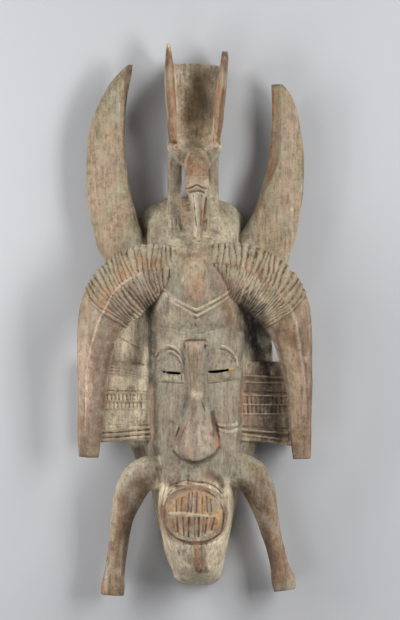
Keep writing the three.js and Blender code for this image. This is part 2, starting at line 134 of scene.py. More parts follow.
# The nose is a ridge and the broad base under it: y, left and right edge, height over the face, squareness
NOSE_RIDGE = [
    [-167, -7, 8, 18, 3],
    [-150, -10, 10.5, 22, 3],
    [-130, -9.5, 10.5, 20, 3],
    [-115, -8.6, 9.4, 18, 3],
    [-100, -8, 8.6, 15.5, 3],
    [-92, -7.5, 7.5, 13, 3.2],
    [-86, -7.5, 7, 8.8, 5],
    [-70, -9.5, 7.5, 8, 6],
    [-50, -11, 8.6, 8.4, 6],
    [-35, -13, 9.6, 8.6, 7],
    [-30, -13.5, 10, 6, 7],
    [-24, -13.8, 10.2, -1, 7],
]
NOSE_BASE = [
    [-171, -5, 6, 12, 3],
    [-169, -11, 13, 18, 3.4],
    [-164.5, -19.5, 20.5, 21.4, 4],
    [-159, -26.5, 27, 22.4, 4.6],
    [-152, -28.5, 29.5, 22.4, 4.6],
    [-140, -24.5, 26.5, 20.6, 4.4],
    [-130, -19, 23.5, 17.4, 4.2],
    [-120, -15, 20.5, 13.5, 4],
    [-110, -12, 17, 8.6, 3.6],
    [-100, -9, 12, 2, 3],
]
NOSE_FRONT = 0.7
NOSE_SUNK = 6
EYE = {
    "left": {"x": -28, "y": -62.5, "rise": -0.08, "length": 27},
    "right": {"x": 28, "y": -60.5, "rise": 0.11, "length": 28},
    "width": 2.6,
    "lid": (14, 17, 8),
    "lower_lid": (9, 7),
    "slope": 0.3,
}
MOUTH = {"middle": (-1, -232), "half": (40, 34), "rim": (3.6, 4.2), "square": 2.15}
# The plate of the teeth: part of the way from behind, part of the mouth's size, height over the muzzle
PLATE = [
    [0, 0.84, -20],
    [0.25, 0.84, -6],
    [0.5, 0.84, 2],
    [0.62, 0.82, 4.4],
    [0.75, 0.76, 5.8],
    [1, 0.02, 7],
]
LIP = {"middle": (-8, -185, 76), "radii": (33, 19, 14), "edge": -198}
# The prongs of the tongue: y, left and right edge, height over the chin
TONGUE = [
    [
        [-302.5, -1, 3.6, 2.6],
        [-300, -3, 5.6, 4],
        [-290, -4, 6, 4.4],
        [-275, -4.2, 5.4, 4.2],
        [-262, -4, 4, 3.6],
        [-254, -3.4, 3, 3],
    ],
    [
        [-302.5, 9.6, 12.4, 2.2],
        [-300.5, 8, 14, 3.4],
        [-290, 5.6, 14, 3.6],
        [-276, 4.8, 13, 3.2],
        [-266, 4, 11, 1.2],
    ],
]
TONGUE_SUNK = 5
# The ear panels: x, then y of the top and the bottom, and the height of the front
EARS = {
    "left": [[-126, -47, -149, 28], [-100, -49, -147, 33], [-74, -52, -146, 38], [-46, -56, -146, 45]],
    "right": [[46, -50, -146, 45], [74, -50, -147, 38], [100, -50, -150, 33], [126, -50, -154, 28]],
}
EAR_THICKNESS = 12
# The curled horns: centre line, half width and depth behind it
CURLED = {
    "left": [
        [-12, 62, 72, 20, 30],
        [-31, 63, 76, 25, 40],
        [-54, 60, 76, 31.5, 44],
        [-74, 49, 73, 35.5, 42],
        [-93, 32, 70, 37, 34],
        [-108, 11, 66, 32.5, 20],
        [-118, -18, 63, 25.5, 12],
        [-122, -48, 60, 21, 10],
        [-124, -78, 58, 18, 9],
        [-126, -108, 56, 16.5, 8.5],
        [-128, -138, 54, 15, 8],
        [-129, -165, 53, 11.8, 7],
    ],
    "right": [
        [9, 65, 72, 20, 30],
        [28, 66, 76, 25, 40],
        [50, 62, 76, 31, 44],
        [69, 51, 73, 35, 42],
        [89, 36, 70, 35.5, 34],
        [105, 13, 66, 32, 20],
        [115, -18, 63, 25, 12],
        [120, -48, 60, 20, 10],
        [124, -78, 58, 16.5, 9],
        [125, -108, 56, 14.5, 8.5],
        [126, -138, 54, 13.2, 8],
        [127, -167, 53, 11, 7],
    ],
}
# Where the long ridge lies across each horn, and how high it stands: parts of the half width
LONG_RIDGE = {"ribbed": 0.06, "left": 0.32, "right": 0.45}
RIDGE_HEIGHT = 0.55
# The ribs: pitch on the outer and the inner face, where they begin and end along the horn, how they lean
RIBS = {
    "left": {"outer": 5.1, "inner": 5.5, "from": 16, "to": 121.5, "lean": 0.27, "slant": 0.45},
    "right": {"outer": 6.3, "inner": 3.9, "from": 15, "to": 125, "lean": 0.3, "slant": 0.8},
}
RIB_DEPTH = 3.4
RIB_PROUD = 1.5
# Where the ribs end on each horn: x and y on the long ridge, and how the end slants
RIB_END = {"left": (108, 12, -0.75), "right": (112, 12, -0.75)}
# The broad horns: y, outer and inner edge, height of the middle, half thickness
BROAD = {
    "left": [
        [62, -104, -46, 26, 14],
        [90, -120, -58, 24, 14],
        [108, -124, -66, 24, 13.5],
        [132, -130, -73, 24, 13],
        [156, -133, -79, 24, 12],
        [180, -133, -83, 25, 11.5],
        [204, -132, -85, 26, 11],
        [222, -130, -86, 27, 10.5],
        [240, -125, -85, 28, 10],
        [258, -119, -84, 29, 9.5],
        [274, -111, -82, 30, 9],
        [288, -102, -79, 31, 8.5],
        [300, -91, -77, 32, 8],
        [308, -82, -75.5, 33, 6.5],
    ],
    "right": [
        [62, 108, 34, 26, 14],
        [90, 118, 48, 24, 14],
        [108, 122, 56.5, 24, 13.5],
        [126, 125, 67, 24, 13],
        [144, 128, 74, 24, 12],
        [162, 130, 80, 24, 12],
        [178, 131, 85, 25, 11.5],
        [192, 131, 88, 26, 11],
        [210, 130, 90, 27, 10.5],
        [228, 127, 91, 28, 10],
        [246, 123.5, 92, 29, 9.5],
        [262, 119, 91.5, 30, 9],
        [274, 113, 91, 31, 8.5],
        [284, 104, 90.5, 32, 7],
    ],
}
# The bevel along the inner edge of each broad horn
BEVEL = {
    "left": {"from": 200, "full": 258, "width": 7},
    "right": {"from": 130, "full": 190, "width": 11},
}
# The legs: centre line and radius
LEGS = {
    "left": [
        [-30, -182, 50, 20],
        [-46, -183, 48, 21],
        [-59, -185, 46, 21],
        [-71, -193, 44, 20.5],
        [-80, -210, 41, 19],
        [-88, -234, 37, 14.5],
        [-92, -258, 34, 12.5],
        [-95, -282, 32, 12],
        [-98.3, -306, 31, 12.6],
        [-100, -320, 31, 14.6],
        [-100.6, -332, 31, 14],
    ],
    "right": [
        [28, -178, 50, 20],
        [43, -178, 48, 21],
        [56, -182, 46, 21],
        [68, -190, 44, 20.5],
        [77, -207, 41, 19],
        [85, -234, 37, 14.5],
        [91, -258, 34, 12],
        [96.5, -278, 32, 11.3],
        [101, -298, 31, 12],
        [105, -314, 31, 14.4],
        [107, -326, 31, 13.4],
    ],
}
# The bird's back, wings and body are slabs: y, left, right, back, front at the sides and in the middle
BIRD_BACK = [
    [200, -34, 26, 12, 34, 26],
    [214, -32, 22, 8, 30, 18],
    [228, -33, 22, 6, 26, 13],
    [250, -34, 24, 6, 22, 12],
    [280, -33, 27, 6, 20, 12],
    [302, -32, 30, 7, 18, 13],
    [308, -31, 30, 8, 16, 14],
]
BIRD_WINGS = {
    "left": [
        [214, -33, -23, 14, 46, 50],
        [222, -34, -23, 10, 50, 55],
        [234, -35, -23, 8, 52, 58],
        [264, -37, -24, 8, 52, 58],
        [294, -38, -26, 10, 50, 56],
        [312, -37, -28, 20, 46, 51],
        [326, -36, -30, 30, 43, 47],
        [333, -35, -31, 35, 41, 43],
    ],
    "right": [
        [214, 18, 28, 14, 46, 50],
        [222, 19, 30, 10, 50, 55],
        [234, 20, 32, 8, 52, 58],
        [264, 22, 35, 8, 52, 58],
        [290, 26, 38, 10, 50, 56],
        [308, 29, 39, 20, 46, 51],
        [318, 30, 39, 28, 43, 47],
        [324, 31.5, 38, 34, 41, 43],
    ],
}
BIRD_BODY = [
    [180, -11, 15, 34, 52, 52],
    [187, -19, 20, 24, 53, 46],
    [196, -29, 27, 16, 51, 36],
    [205, -35, 31, 12, 48, 27],
    [213, -35, 31, 10, 43, 21],
    [222, -34, 28, 8, 30, 14],
]
BIRD_KNOBS = [(-24, 207.5, 47.5), (22.4, 210.6, 47)]
KNOB_RADII = (5.2, 5.2, 5)
# The bird's neck, head and beak, and its two legs: centre line, half width, half depth
BIRD_NECK = [
    [1, 214, 6, 8, 10],
    [1, 203, 17, 10, 12],
    [1.2, 193, 37, 13, 13],
    [1.6, 181, 57, 13.6, 14.5],
    [1, 168, 68, 14.6, 15],
    [1, 158, 73, 14.6, 14],
    [1.2, 150, 76, 11, 11],
    [2, 132, 81, 7.5, 8],
    [3, 113, 85, 4.8, 6],
    [3.8, 94, 89, 2.6, 5],
]
BIRD_LEGS = [
    [
        [-26, 200, 30, 8.5, 9],
        [-26, 176, 26, 8.5, 9],
        [-26, 152, 24, 8.5, 9],
        [-26, 132, 36, 8.5, 10],
        [-26, 118, 52, 8.5, 10],
        [-26, 106, 66, 9, 8],
    ],
    [
        [21, 200, 30, 7, 9],
        [20.4, 176, 26, 7, 9],
        [20.4, 152, 24, 7, 9],
        [20.6, 132, 36, 7, 10],
        [21, 118, 52, 7, 10],
        [21, 106, 66, 8, 8],
    ],
]


class Course:
    """Smooth values between rows, each of which is a place and then its values there."""

    def __init__(self, rows):
        rows = np.array(rows, float)
        self.at, self.values = rows[:, 0], rows[:, 1:]
        self.slopes = np.gradient(self.values, self.at, axis=0)

    def __call__(self, at):
        at = np.clip(np.asarray(at, float), self.at[0], self.at[-1])
        i = np.clip(np.searchsorted(self.at, at) - 1, 0, len(self.at) - 2)
        span = (self.at[i + 1] - self.at[i])[..., None]
        t = (at - self.at[i])[..., None] / span
        rise = self.values[i + 1] - self.values[i]
        first, last = self.slopes[i] * span - rise, rise - self.slopes[i + 1] * span
        return self.values[i] + rise * t + t * (1 - t) * (first * (1 - t) + last * t)


def along_line(rows):
    """The same for rows that are places along a line: the place is the part of the way, counted in rows."""
    steps = np.linspace(0, 1, len(rows))
    return Course(np.column_stack([steps, np.array(rows, float)]))


head_at, muzzle_at, hollow_at = Course(HEAD), Course(MUZZLE), Course(HOLLOW)


def smooth_step(low, high, x):
    t = np.clip((x - low) / (high - low), 0, 1)
    return t * t * (3 - 2 * t)


def within(value, low, high, soft):
    """1 between two limits and 0 beyond them, with soft ends."""
    return smooth_step(low - soft, low + soft, value) * smooth_step(high + soft, high - soft, value)


def across_from(first, last, part):
    """The place between two edges: -1 is the first edge, 0 the middle and 1 the last edge."""
    return (first + last) / 2 + (last - first) / 2 * part


def hashed(cells, seed):
    """A number from 0 to 1 for every cell of a grid."""
    mixed = (cells @ np.array([73856093, 19349663, 83492791]) + seed * 2654435761) & 0xFFFFFFFF
    for factor in (0x85EBCA6B, 0xC2B2AE35):
        mixed = ((mixed ^ (mixed >> 15)) * factor) & 0xFFFFFFFF
    return ((mixed ^ (mixed >> 16)) & 0xFFFFFF) / 0xFFFFFF


def body(block, shape):
    """Adds a closed shape to the block, with its faces turned out."""
    bmesh.ops.recalc_face_normals(shape, faces=shape.faces)
    mesh = bpy.data.meshes.new("form")
    shape.to_mesh(mesh)
    shape.free()
    block.from_mesh(mesh)
    bpy.data.meshes.remove(mesh)


def bent_sheet(point, rounds, steps):
    """A sheet of quads bent round by point(turn, along), and joined where its sides meet."""
    sheet = bmesh.new()
    bmesh.ops.create_grid(sheet, x_segments=rounds, y_segments=steps, size=0.5)
    flat = np.array([vert.co[:2] for vert in sheet.verts]) + 0.5
    for vert, place in zip(sheet.verts, point(flat[:, 0], flat[:, 1])):
        vert.co = place
    bmesh.ops.remove_doubles(sheet, verts=sheet.verts, dist=SEAM)
    return sheet


def close(shape):
    """Fills the holes of a shape."""
    bmesh.ops.holes_fill(shape, edges=[edge for edge in shape.edges if edge.is_boundary], sides=0)


def loft(block, point, rounds, steps):
    """A bent sheet with its two ends filled."""
    sheet = bent_sheet(point, rounds, steps)
    close(sheet)
    body(block, sheet)


def stack(block, rows, outline, rounds, steps, crowding=1):
    """A form along y: outline(turn, y, values of the rows there) gives x and height.

    With crowding over 1 the steps are closer together toward the top.
    """
    at = Course(rows)
    low, high = rows[0][0], rows[-1][0]

    def point(turn, along):
        y = low + (high - low) * (1 - (1 - along) ** crowding)
        x, z = outline(turn, y, *np.moveaxis(at(y), -1, 0))
        return np.stack([x, y, z], axis=-1)

    loft(block, point, rounds, steps)


def part_behind(turn, front):
    """How much of the flat back a turn has passed."""
    return (turn - front) / (1 - front)


def across(fall):
    """The outline across head or muzzle: over the face, down the walls to the rim, and flat behind."""

    def outline(turn, y, out_left, out_right, edge_left, edge_right, edge_height, middle):
        side = 1 - turn / (FRONT / 2)
        away = np.clip(np.abs(side), 0, 1)
        out = np.where(side < 0, out_left, out_right)
        edge = np.where(side < 0, edge_left, edge_right)
        rim = np.minimum(RIM, edge_height * 0.6)
        on_face = away / FACE_SHARE
        down = np.clip((away - FACE_SHARE) / WALL_SHARE, 0, 1)
        x = np.where(away < FACE_SHARE, edge * on_face, edge + (out - edge) * down)
        z = np.where(
            away < FACE_SHARE,
            middle - (middle - edge_height) * np.minimum(on_face, 1) ** FACE_ROUND,
            rim + (edge_height - rim) * (1 - down) ** fall,
        )
        z = z * np.clip((1 - away) / (1 - FACE_SHARE - WALL_SHARE), 0, 1)
        x = np.where(turn > FRONT, out_left + (out_right - out_left) * part_behind(turn, FRONT), x)
        return x, np.where(turn > FRONT, 0, z)

    return outline


def face_height(x, y):
    """The height of the plain face, without nose or mouth."""
    _, _, edge_left, edge_right, edge_height, middle = np.moveaxis(head_at(y), -1, 0)
    part = np.minimum(np.abs(x / np.where(x < 0, edge_left, edge_right)), 1)
    return middle - (middle - edge_height) * part**FACE_ROUND


def muzzle_height(y):
    return muzzle_at(y)[..., 5]


def head(block):
    stack(block, HEAD, across(WALL_FALL["head"]), rounds=140, steps=180)


def muzzle(block):
    stack(block, MUZZLE, across(WALL_FALL["muzzle"]), rounds=110, steps=80, crowding=1.6)


def hollow(block):
    """A rounded trough that reaches out behind the mask."""

    def outline(turn, y, left, right, height):
        angle = turn * math.pi / FRONT
        x = np.where(np.cos(angle) < 0, left, right) * np.cos(angle)
        z = height * np.abs(np.sin(angle)) ** 0.85
        x = np.where(turn > FRONT, -left + (left + right) * part_behind(turn, FRONT), x)
        return x, np.where(turn > FRONT, -4, z)

    stack(block, HOLLOW, outline, rounds=100, steps=120)


def nose(block):
    def outline(turn, y, left, right, proud, square):
        middle = head_at(y)[..., 5]
        side = np.clip(1 - turn / (NOSE_FRONT / 2), -1, 1)
        front = (1 - np.abs(side) ** square) ** 0.8
        x = across_from(left, right, -side)
        z = middle - NOSE_SUNK + (proud + NOSE_SUNK) * front
        x = np.where(turn > NOSE_FRONT, right + (left - right) * part_behind(turn, NOSE_FRONT), x)
        return x, np.where(turn > NOSE_FRONT, middle - 14, z)

    for rows in (NOSE_RIDGE, NOSE_BASE):
        stack(block, rows, outline, rounds=80, steps=150)


def sweep(block, rows, section, rounds, steps):
    """A limb along a line: section(turn, t, sizes) gives how far its skin is to the side and in front."""
    line = along_line(rows)
    look = 0.004

    def point(turn, along):
        values = line(along)
        centre, sizes = values[..., :3], values[..., 3:]
        ahead = line(np.minimum(along + look, 1))[..., :3] - line(np.maximum(along - look, 0))[..., :3]
        ahead /= np.linalg.norm(ahead, axis=-1, keepdims=True)
        side = np.cross(ahead, [0, 0, 1])
        side /= np.linalg.norm(side, axis=-1, keepdims=True)
        front = np.cross(side, ahead)
        out, lift = section(turn, along, sizes)
        return centre + side * out[..., None] + front * lift[..., None]

    loft(block, point, rounds, steps)


def rounded(turn, wide, deep, square):
    """A rounded outline: square is 2 for an oval and more for fuller corners."""
    c, s = np.cos(2 * np.pi * turn), np.sin(2 * np.pi * turn)
    return (
        wide * np.sign(c) * np.abs(c) ** (2 / square),
        deep * np.sign(s) * np.abs(s) ** (2 / square),
    )


def ridge_place(t, side):
    past = smooth_step(0.35, 0.65, t)
    return LONG_RIDGE["ribbed"] + (LONG_RIDGE[side] - LONG_RIDGE["ribbed"]) * past


def length_along(line):
    """How far along a line each part of the way is, in millimetres."""
    parts = np.linspace(0, 1, 401)
    steps = np.linalg.norm(np.diff(line(parts)[:, :3], axis=0), axis=1)
    gone = np.concatenate([[0], np.cumsum(steps)])
    return lambda t: np.interp(t, parts, gone)


def rib_counts(side, t, gone, out, ridge):
    """How many ribs lie between a place and their end: by the outer ribs, then by the inner ones."""
    ribs = RIBS[side]
    place = gone + ribs["lean"] * np.sin(np.pi * t) * out
    waver = 0.22 * np.sin(place / 7.3 + out / 13) + 0.14 * np.sin(place / 3.1 - out / 8)
    first = ribs["from"] + ribs["slant"] * np.maximum(ridge - out, 0)
    ribbed = smooth_step(ribs["to"] + 1.2, ribs["to"] - 0.4, place) * smooth_step(first - 3, first, gone)
    to_end = place - ribs["to"]
    return to_end / ribs["outer"] + waver, to_end / ribs["inner"] + waver, ribbed


def ribbing(side, t, gone, out, lift, ridge):
    """How far the surface stands out for the ribs. Their grooves spare the long ridge."""
    outer_count, inner_count, ribbed = rib_counts(side, t, gone, out, ridge)
    outer = out > ridge
    count = np.where(outer, outer_count, inner_count)
    depth = np.where(outer, RIB_DEPTH, RIB_DEPTH * RIBS[side]["inner"] / 6)
    groove = (1 - np.abs(np.sin(np.pi * count))) ** 1.6
    depth = depth * (0.8 + 0.4 * hashed(rib_number(np.round(count), outer), 3))
    front = smooth_step(-9, -3, lift)
    spared = smooth_step(0.8, 2.6, np.abs(out - ridge))
    return ribbed * front * spared * (RIB_PROUD - depth * groove)


def rib_number(count, outer):
    return np.stack([count, outer, np.full(np.shape(count), 7)], axis=-1).astype(np.int64)


def curled_horn(block, side):
    """Two faces that meet in a long ridge in front, and a round back."""
    hand = 1 if side == "left" else -1
    gone_at = length_along(along_line(CURLED[side]))

    def section(turn, t, sizes):
        half, back = sizes[..., 0], sizes[..., 1]
        u = np.cos(2 * np.pi * turn)
        ridge = ridge_place(t, side)
        to_ridge = np.where(u > ridge, (u - ridge) / (1 - ridge), (ridge - u) / (1 + ridge))
        front = half * RIDGE_HEIGHT * (1 - 0.6 * to_ridge - 0.4 * to_ridge**4)
        lift = np.where(turn < 0.5, front, -back * np.sqrt(np.maximum(1 - u * u, 0)))
        out = u * half
        proud = ribbing(side, t, gone_at(t), out, lift, ridge * half)
        reach = np.hypot(out, lift + 8)
        return hand * out * (1 + proud / reach), lift + proud * (lift + 8) / reach

    sweep(block, CURLED[side], section, rounds=110, steps=600)


def broad_horn(block, side):
    """A thick blade with a round outer edge, and a bevel along its inner edge near the tip."""
    bevel = BEVEL[side]

    def outline(turn, y, outer, inner, middle, half):
        out, lift = rounded(turn, 1, 1, 3)
        wide = np.abs(outer - inner)
        x = across_from(inner, outer, out)
        cut = smooth_step(bevel["from"], bevel["full"], y) * bevel["width"] / wide
        fallen = np.clip((2 * cut - 1 - out) / np.maximum(2 * cut, SEAM), 0, 1)
        z = middle + half * lift * (1 - 0.22 * out)
        return x, z - np.where(lift > 0, fallen * 1.5 * half, 0)

    stack(block, BROAD[side], outline, rounds=90, steps=160)


def leg(block, side):
    def section(turn, t, sizes):
        radius = sizes[..., 0]
        return rounded(turn, radius, 0.92 * radius, 2.3)

    sweep(block, LEGS[side], section, rounds=48, steps=120)


def ear(block, side):
    rows = EARS[side]
    at = Course(rows)
    low, high = rows[0][0], rows[-1][0]

    def point(turn, along):
        x = low + (high - low) * along
        top, bottom, front = np.moveaxis(at(x), -1, 0)
        out, lift = rounded(turn, 1, 1, 7)
        y, z = across_from(bottom, top, out), across_from(front - EAR_THICKNESS, front, lift)
        return np.stack([x, y, z], axis=-1)

    loft(block, point, rounds=96, steps=50)


def slab(block, rows, rounds, steps, square=5, arch=0):
    """A flat form along y, dished or raised in front between its sides. Its top may be arched."""
    at = Course(rows)
    low, high = rows[0][0], rows[-1][0]

    def point(turn, along):
        y = low + (high - low) * along
        left, right, back, side_front, middle_front = np.moveaxis(at(y), -1, 0)
        out, lift = rounded(turn, 1, 1, square)
        front = middle_front + (side_front - middle_front) * out**2
        y = y + arch * along * (1 - out**2 - 0.5 * out)
        return np.stack([across_from(left, right, out), y, across_from(back, front, lift)], axis=-1)

    loft(block, point, rounds, steps)


def ball(block, middle, radii, turned=0, cut_below=None):
    """An oval lump, cut off flat below a height along y where one is given."""
    lump = bmesh.new()
    bmesh.ops.create_uvsphere(lump, u_segments=40, v_segments=24, radius=1)
    bmesh.ops.scale(lump, vec=radii, verts=lump.verts)
    if turned:
        cosine, sine = math.cos(turned), math.sin(turned)
        tilt = np.array([[cosine, 0, sine], [0, 1, 0], [-sine, 0, cosine]])
        for vert in lump.verts:
            vert.co = tilt @ np.array(vert.co)
    bmesh.ops.translate(lump, vec=middle, verts=lump.verts)
    if cut_below is not None:
        everything = lump.verts[:] + lump.edges[:] + lump.faces[:]
        bmesh.ops.bisect_plane(
            lump, geom=everything, plane_co=(0, cut_below, 0), plane_no=(0, 1, 0), clear_inner=True
        )
        close(lump)
    body(block, lump)


def eye(block, side):
    """The heavy upper lid and the flat lower one."""
    x, y = EYE[side]["x"], EYE[side]["y"]
    slope = EYE["slope"] * math.copysign(1, x)
    seat = float(face_height(np.float64(x), np.float64(y)))
    ball(block, (x * 1.03, y, seat - 3), EYE["lid"], turned=slope, cut_below=y)
    lower = bmesh.new()
    bmesh.ops.create_cube(lower, size=1)
    bmesh.ops.scale(lower, vec=(EYE[side]["length"], *EYE["lower_lid"]), verts=lower.verts)
    for vert in lower.verts:
        vert.co.z -= vert.co.x * math.tan(slope)
        vert.co.y += vert.co.x * EYE[side]["rise"]
    bmesh.ops.translate(lower, vec=(x, y - 6.5, seat - 3.2), verts=lower.verts)
    body(block, lower)


def lip(block):
    """The swelling over the mouth, cut off square above the teeth."""
    ball(block, LIP["middle"], LIP["radii"], cut_below=LIP["edge"])


def mouth_place(x, y, lift):
    x_middle, y_middle = MOUTH["middle"]
    return np.stack([x_middle + x, y_middle + y, muzzle_height(y_middle + y * 0.8) + lift], axis=-1)


def mouth(block):
    """The oval rim and the raised plate that the teeth are cut in."""
    wide, high = MOUTH["half"]
    thick, tall = MOUTH["rim"]

    def rim(turn, along):
        out, lift = rounded(turn, thick, tall, 2.4)
        x, y = rounded(along, 1, 1, MOUTH["square"])
        return mouth_place(x * (wide - thick + out), y * (high - thick + out), lift - 0.5)

    def plate(turn, along):
        x, y = rounded(turn, 1, 1, MOUTH["square"])
        way, sizes, heights = zip(*PLATE)
        grow = np.interp(along, way, sizes)
        return mouth_place(x * wide * grow, y * high * grow, np.interp(along, way, heights))

    body(block, bent_sheet(rim, rounds=20, steps=120))
    loft(block, plate, rounds=100, steps=40)


def tongue(block):
    """Two flat prongs side by side under the mouth."""

    def outline(turn, y, left, right, proud):
        out, lift = rounded(turn, 1, 1, 3)
        return across_from(left, right, out), muzzle_height(y) - TONGUE_SUNK + (proud + TONGUE_SUNK) * lift

    for rows in TONGUE:
        stack(block, rows, outline, rounds=32, steps=40)


def bird(block):
    def stick(square):
        def section(turn, t, sizes):
            return rounded(turn, sizes[..., 0], sizes[..., 1], square)

        return section

    slab(block, BIRD_BACK, rounds=80, steps=60, arch=2.5)
    for rows in BIRD_WINGS.values():
        slab(block, rows, rounds=48, steps=90, square=3)
    slab(block, BIRD_BODY, rounds=64, steps=30, square=2.6)
    for knob in BIRD_KNOBS:
        ball(block, knob, KNOB_RADII)
    sweep(block, BIRD_NECK, stick(2.6), rounds=48, steps=120)
    for rows in BIRD_LEGS:
        sweep(block, rows, stick(3), rounds=40, steps=80)


def mesh_of(shape, name):
    made = bpy.data.meshes.new(name)
    shape.to_mesh(made)
    shape.free()
    return made


def object_of(data, name):
    """Puts a mesh, a camera or a lamp into the scene."""
    made = bpy.data.objects.new(name, data)
    bpy.context.scene.collection.objects.link(made)
    return made


def finished(holder):
    """The mesh that the holder's modifiers give. The holder and its first mesh go."""
    scene_now = bpy.context.evaluated_depsgraph_get()
    made = bpy.data.meshes.new_from_object(holder.evaluated_get(scene_now))
    first = holder.data
    bpy.data.objects.remove(holder)
    bpy.data.meshes.remove(first)
    return made


def melted(mesh):
    """One even skin round all the forms of the mesh."""
    holder = object_of(mesh, "melting")
    remesh = holder.modifiers.new("skin", "REMESH")
    remesh.mode = "VOXEL"
    remesh.voxel_size = GRAIN_OF_SURFACE
    return finished(holder)


def block_of_forms():
    block = bmesh.new()
    head(block)
    muzzle(block)
    nose(block)
    lip(block)
    mouth(block)
    tongue(block)
    for side in ("left", "right"):
        eye(block, side)
        ear(block, side)
        curled_horn(block, side)
        broad_horn(block, side)
        leg(block, side)
    bird(block)
    return melted(mesh_of(block, "block"))


def eye_slits(block):
    """Long cuts that narrow to both ends and droop a little in the middle."""
    for side in ("left", "right"):
        slit = bmesh.new()
        bmesh.ops.create_cube(slit, size=1)
        bmesh.ops.subdivide_edges(slit, edges=slit.edges, cuts=9, use_grid_fill=True)
        bmesh.ops.scale(slit, vec=(EYE[side]["length"] + 2, EYE["width"], 90), verts=slit.verts)
        for vert in slit.verts:
            part = min(1, abs(vert.co.x) / EYE[side]["length"] * 2)
            vert.co.y *= 1 - 0.45 * part**3
            vert.co.y += vert.co.x * EYE[side]["rise"] - 0.9 * (1 - part**2)
        bmesh.ops.translate(slit, vec=(EYE[side]["x"], EYE[side]["y"], 75), verts=slit.verts)
        body(block, slit)


def hollowed(mesh):
    """The block with the hollow and the eye slits cut from it."""
    cutters = bmesh.new()
    hollow(cutters)
    tool = object_of(melted(mesh_of(cutters, "hollow")), "hollow")
    slits = bmesh.new()
    eye_slits(slits)
    slit_tool = object_of(mesh_of(slits, "slits"), "slits")
    holder = object_of(mesh, "hollowing")
    for cutter in (tool, slit_tool):
        cut = holder.modifiers.new(cutter.name, "BOOLEAN")
        cut.operation = "DIFFERENCE"
        cut.solver = "MANIFOLD"
        cut.object = cutter
    made = finished(holder)
    for cutter in (tool, slit_tool):
        shape = cutter.data
        bpy.data.objects.remove(cutter)
        bpy.data.meshes.remove(shape)
    return melted(made)


class Surface:
    """The carved surface as arrays: where its points are and which way they face."""

    def __init__(self, mesh):
        self.mesh = mesh
        self.at = self.read(mesh.vertices, "co", 3)
        self.ends = self.read(mesh.edges, "vertices", 2, int)
        self.degree = np.bincount(self.ends.ravel(), minlength=len(self.at))
        self.marks = np.zeros(len(self.at))
        self.face()

    @staticmethod
    def read(items, name, width, kind=float):
        values = np.empty(len(items) * width, kind)
        items.foreach_get(name, values)
        return values.reshape(-1, width)

    def face(self):
        """Gives the moved points back to the mesh, and reads which way they face now."""
        self.mesh.vertices.foreach_set("co", self.at.ravel())
        self.mesh.update()
        self.normal = self.read(self.mesh.vertex_normals, "vector", 3)

    def spread(self, values, times):
        """Each point's value becomes the mean of its neighbours', as many times as asked."""
        first, second = self.ends[:, 0], self.ends[:, 1]
        for _ in range(times):
            total = np.bincount(first, values[second], len(values))
            total += np.bincount(second, values[first], len(values))
            values = (values + total) / (1 + self.degree)
        return values

    def standing(self, times):
        """How far each point stands out over its surroundings: more times, wider surroundings."""
        around = np.column_stack([self.spread(self.at[:, i], times) for i in range(3)])
        return ((self.at - around) * self.normal).sum(axis=1)


CORNERS = np.array([[i, j, k] for i in (0, 1) for j in (0, 1) for k in (0, 1)])


def wander(at, size, seed):
    """Smooth unevenness between -1 and 1, with lumps of this size."""
    place = at / size
    cell = np.floor(place).astype(np.int64)
    part = place - cell
    part = part * part * (3 - 2 * part)
    total = np.zeros(len(at))
    for corner in CORNERS:
        weight = np.prod(np.where(corner, part, 1 - part), axis=1)
        total += weight * hashed(cell + corner, seed)
    return 2 * total - 1


def scoops(at, size, seed):
    """The dished marks of a blade: 0 at the middle of a mark and 1 at its rim."""
    place = at / size
    cell = np.floor(place).astype(np.int64)
    nearest = np.full(len(at), np.inf)
    for x in (-1, 0, 1):
        for y in (-1, 0, 1):
            for z in (-1, 0, 1):
                other = cell + (x, y, z)
                spot = other + np.column_stack([hashed(other, seed + n) for n in range(3)]) * 0.8 + 0.1
                nearest = np.minimum(nearest, ((place - spot) ** 2).sum(axis=1))
    return np.minimum(nearest, 1)


def ear_height(x, y):
    seat = np.full(len(x), -99.0)
    for side, rows in EARS.items():
        mine = x < 0 if side == "left" else x > 0
        seat[mine] = Course(rows)(x[mine])[:, 2]
    return seat


def anywhere(x, y):
    return None


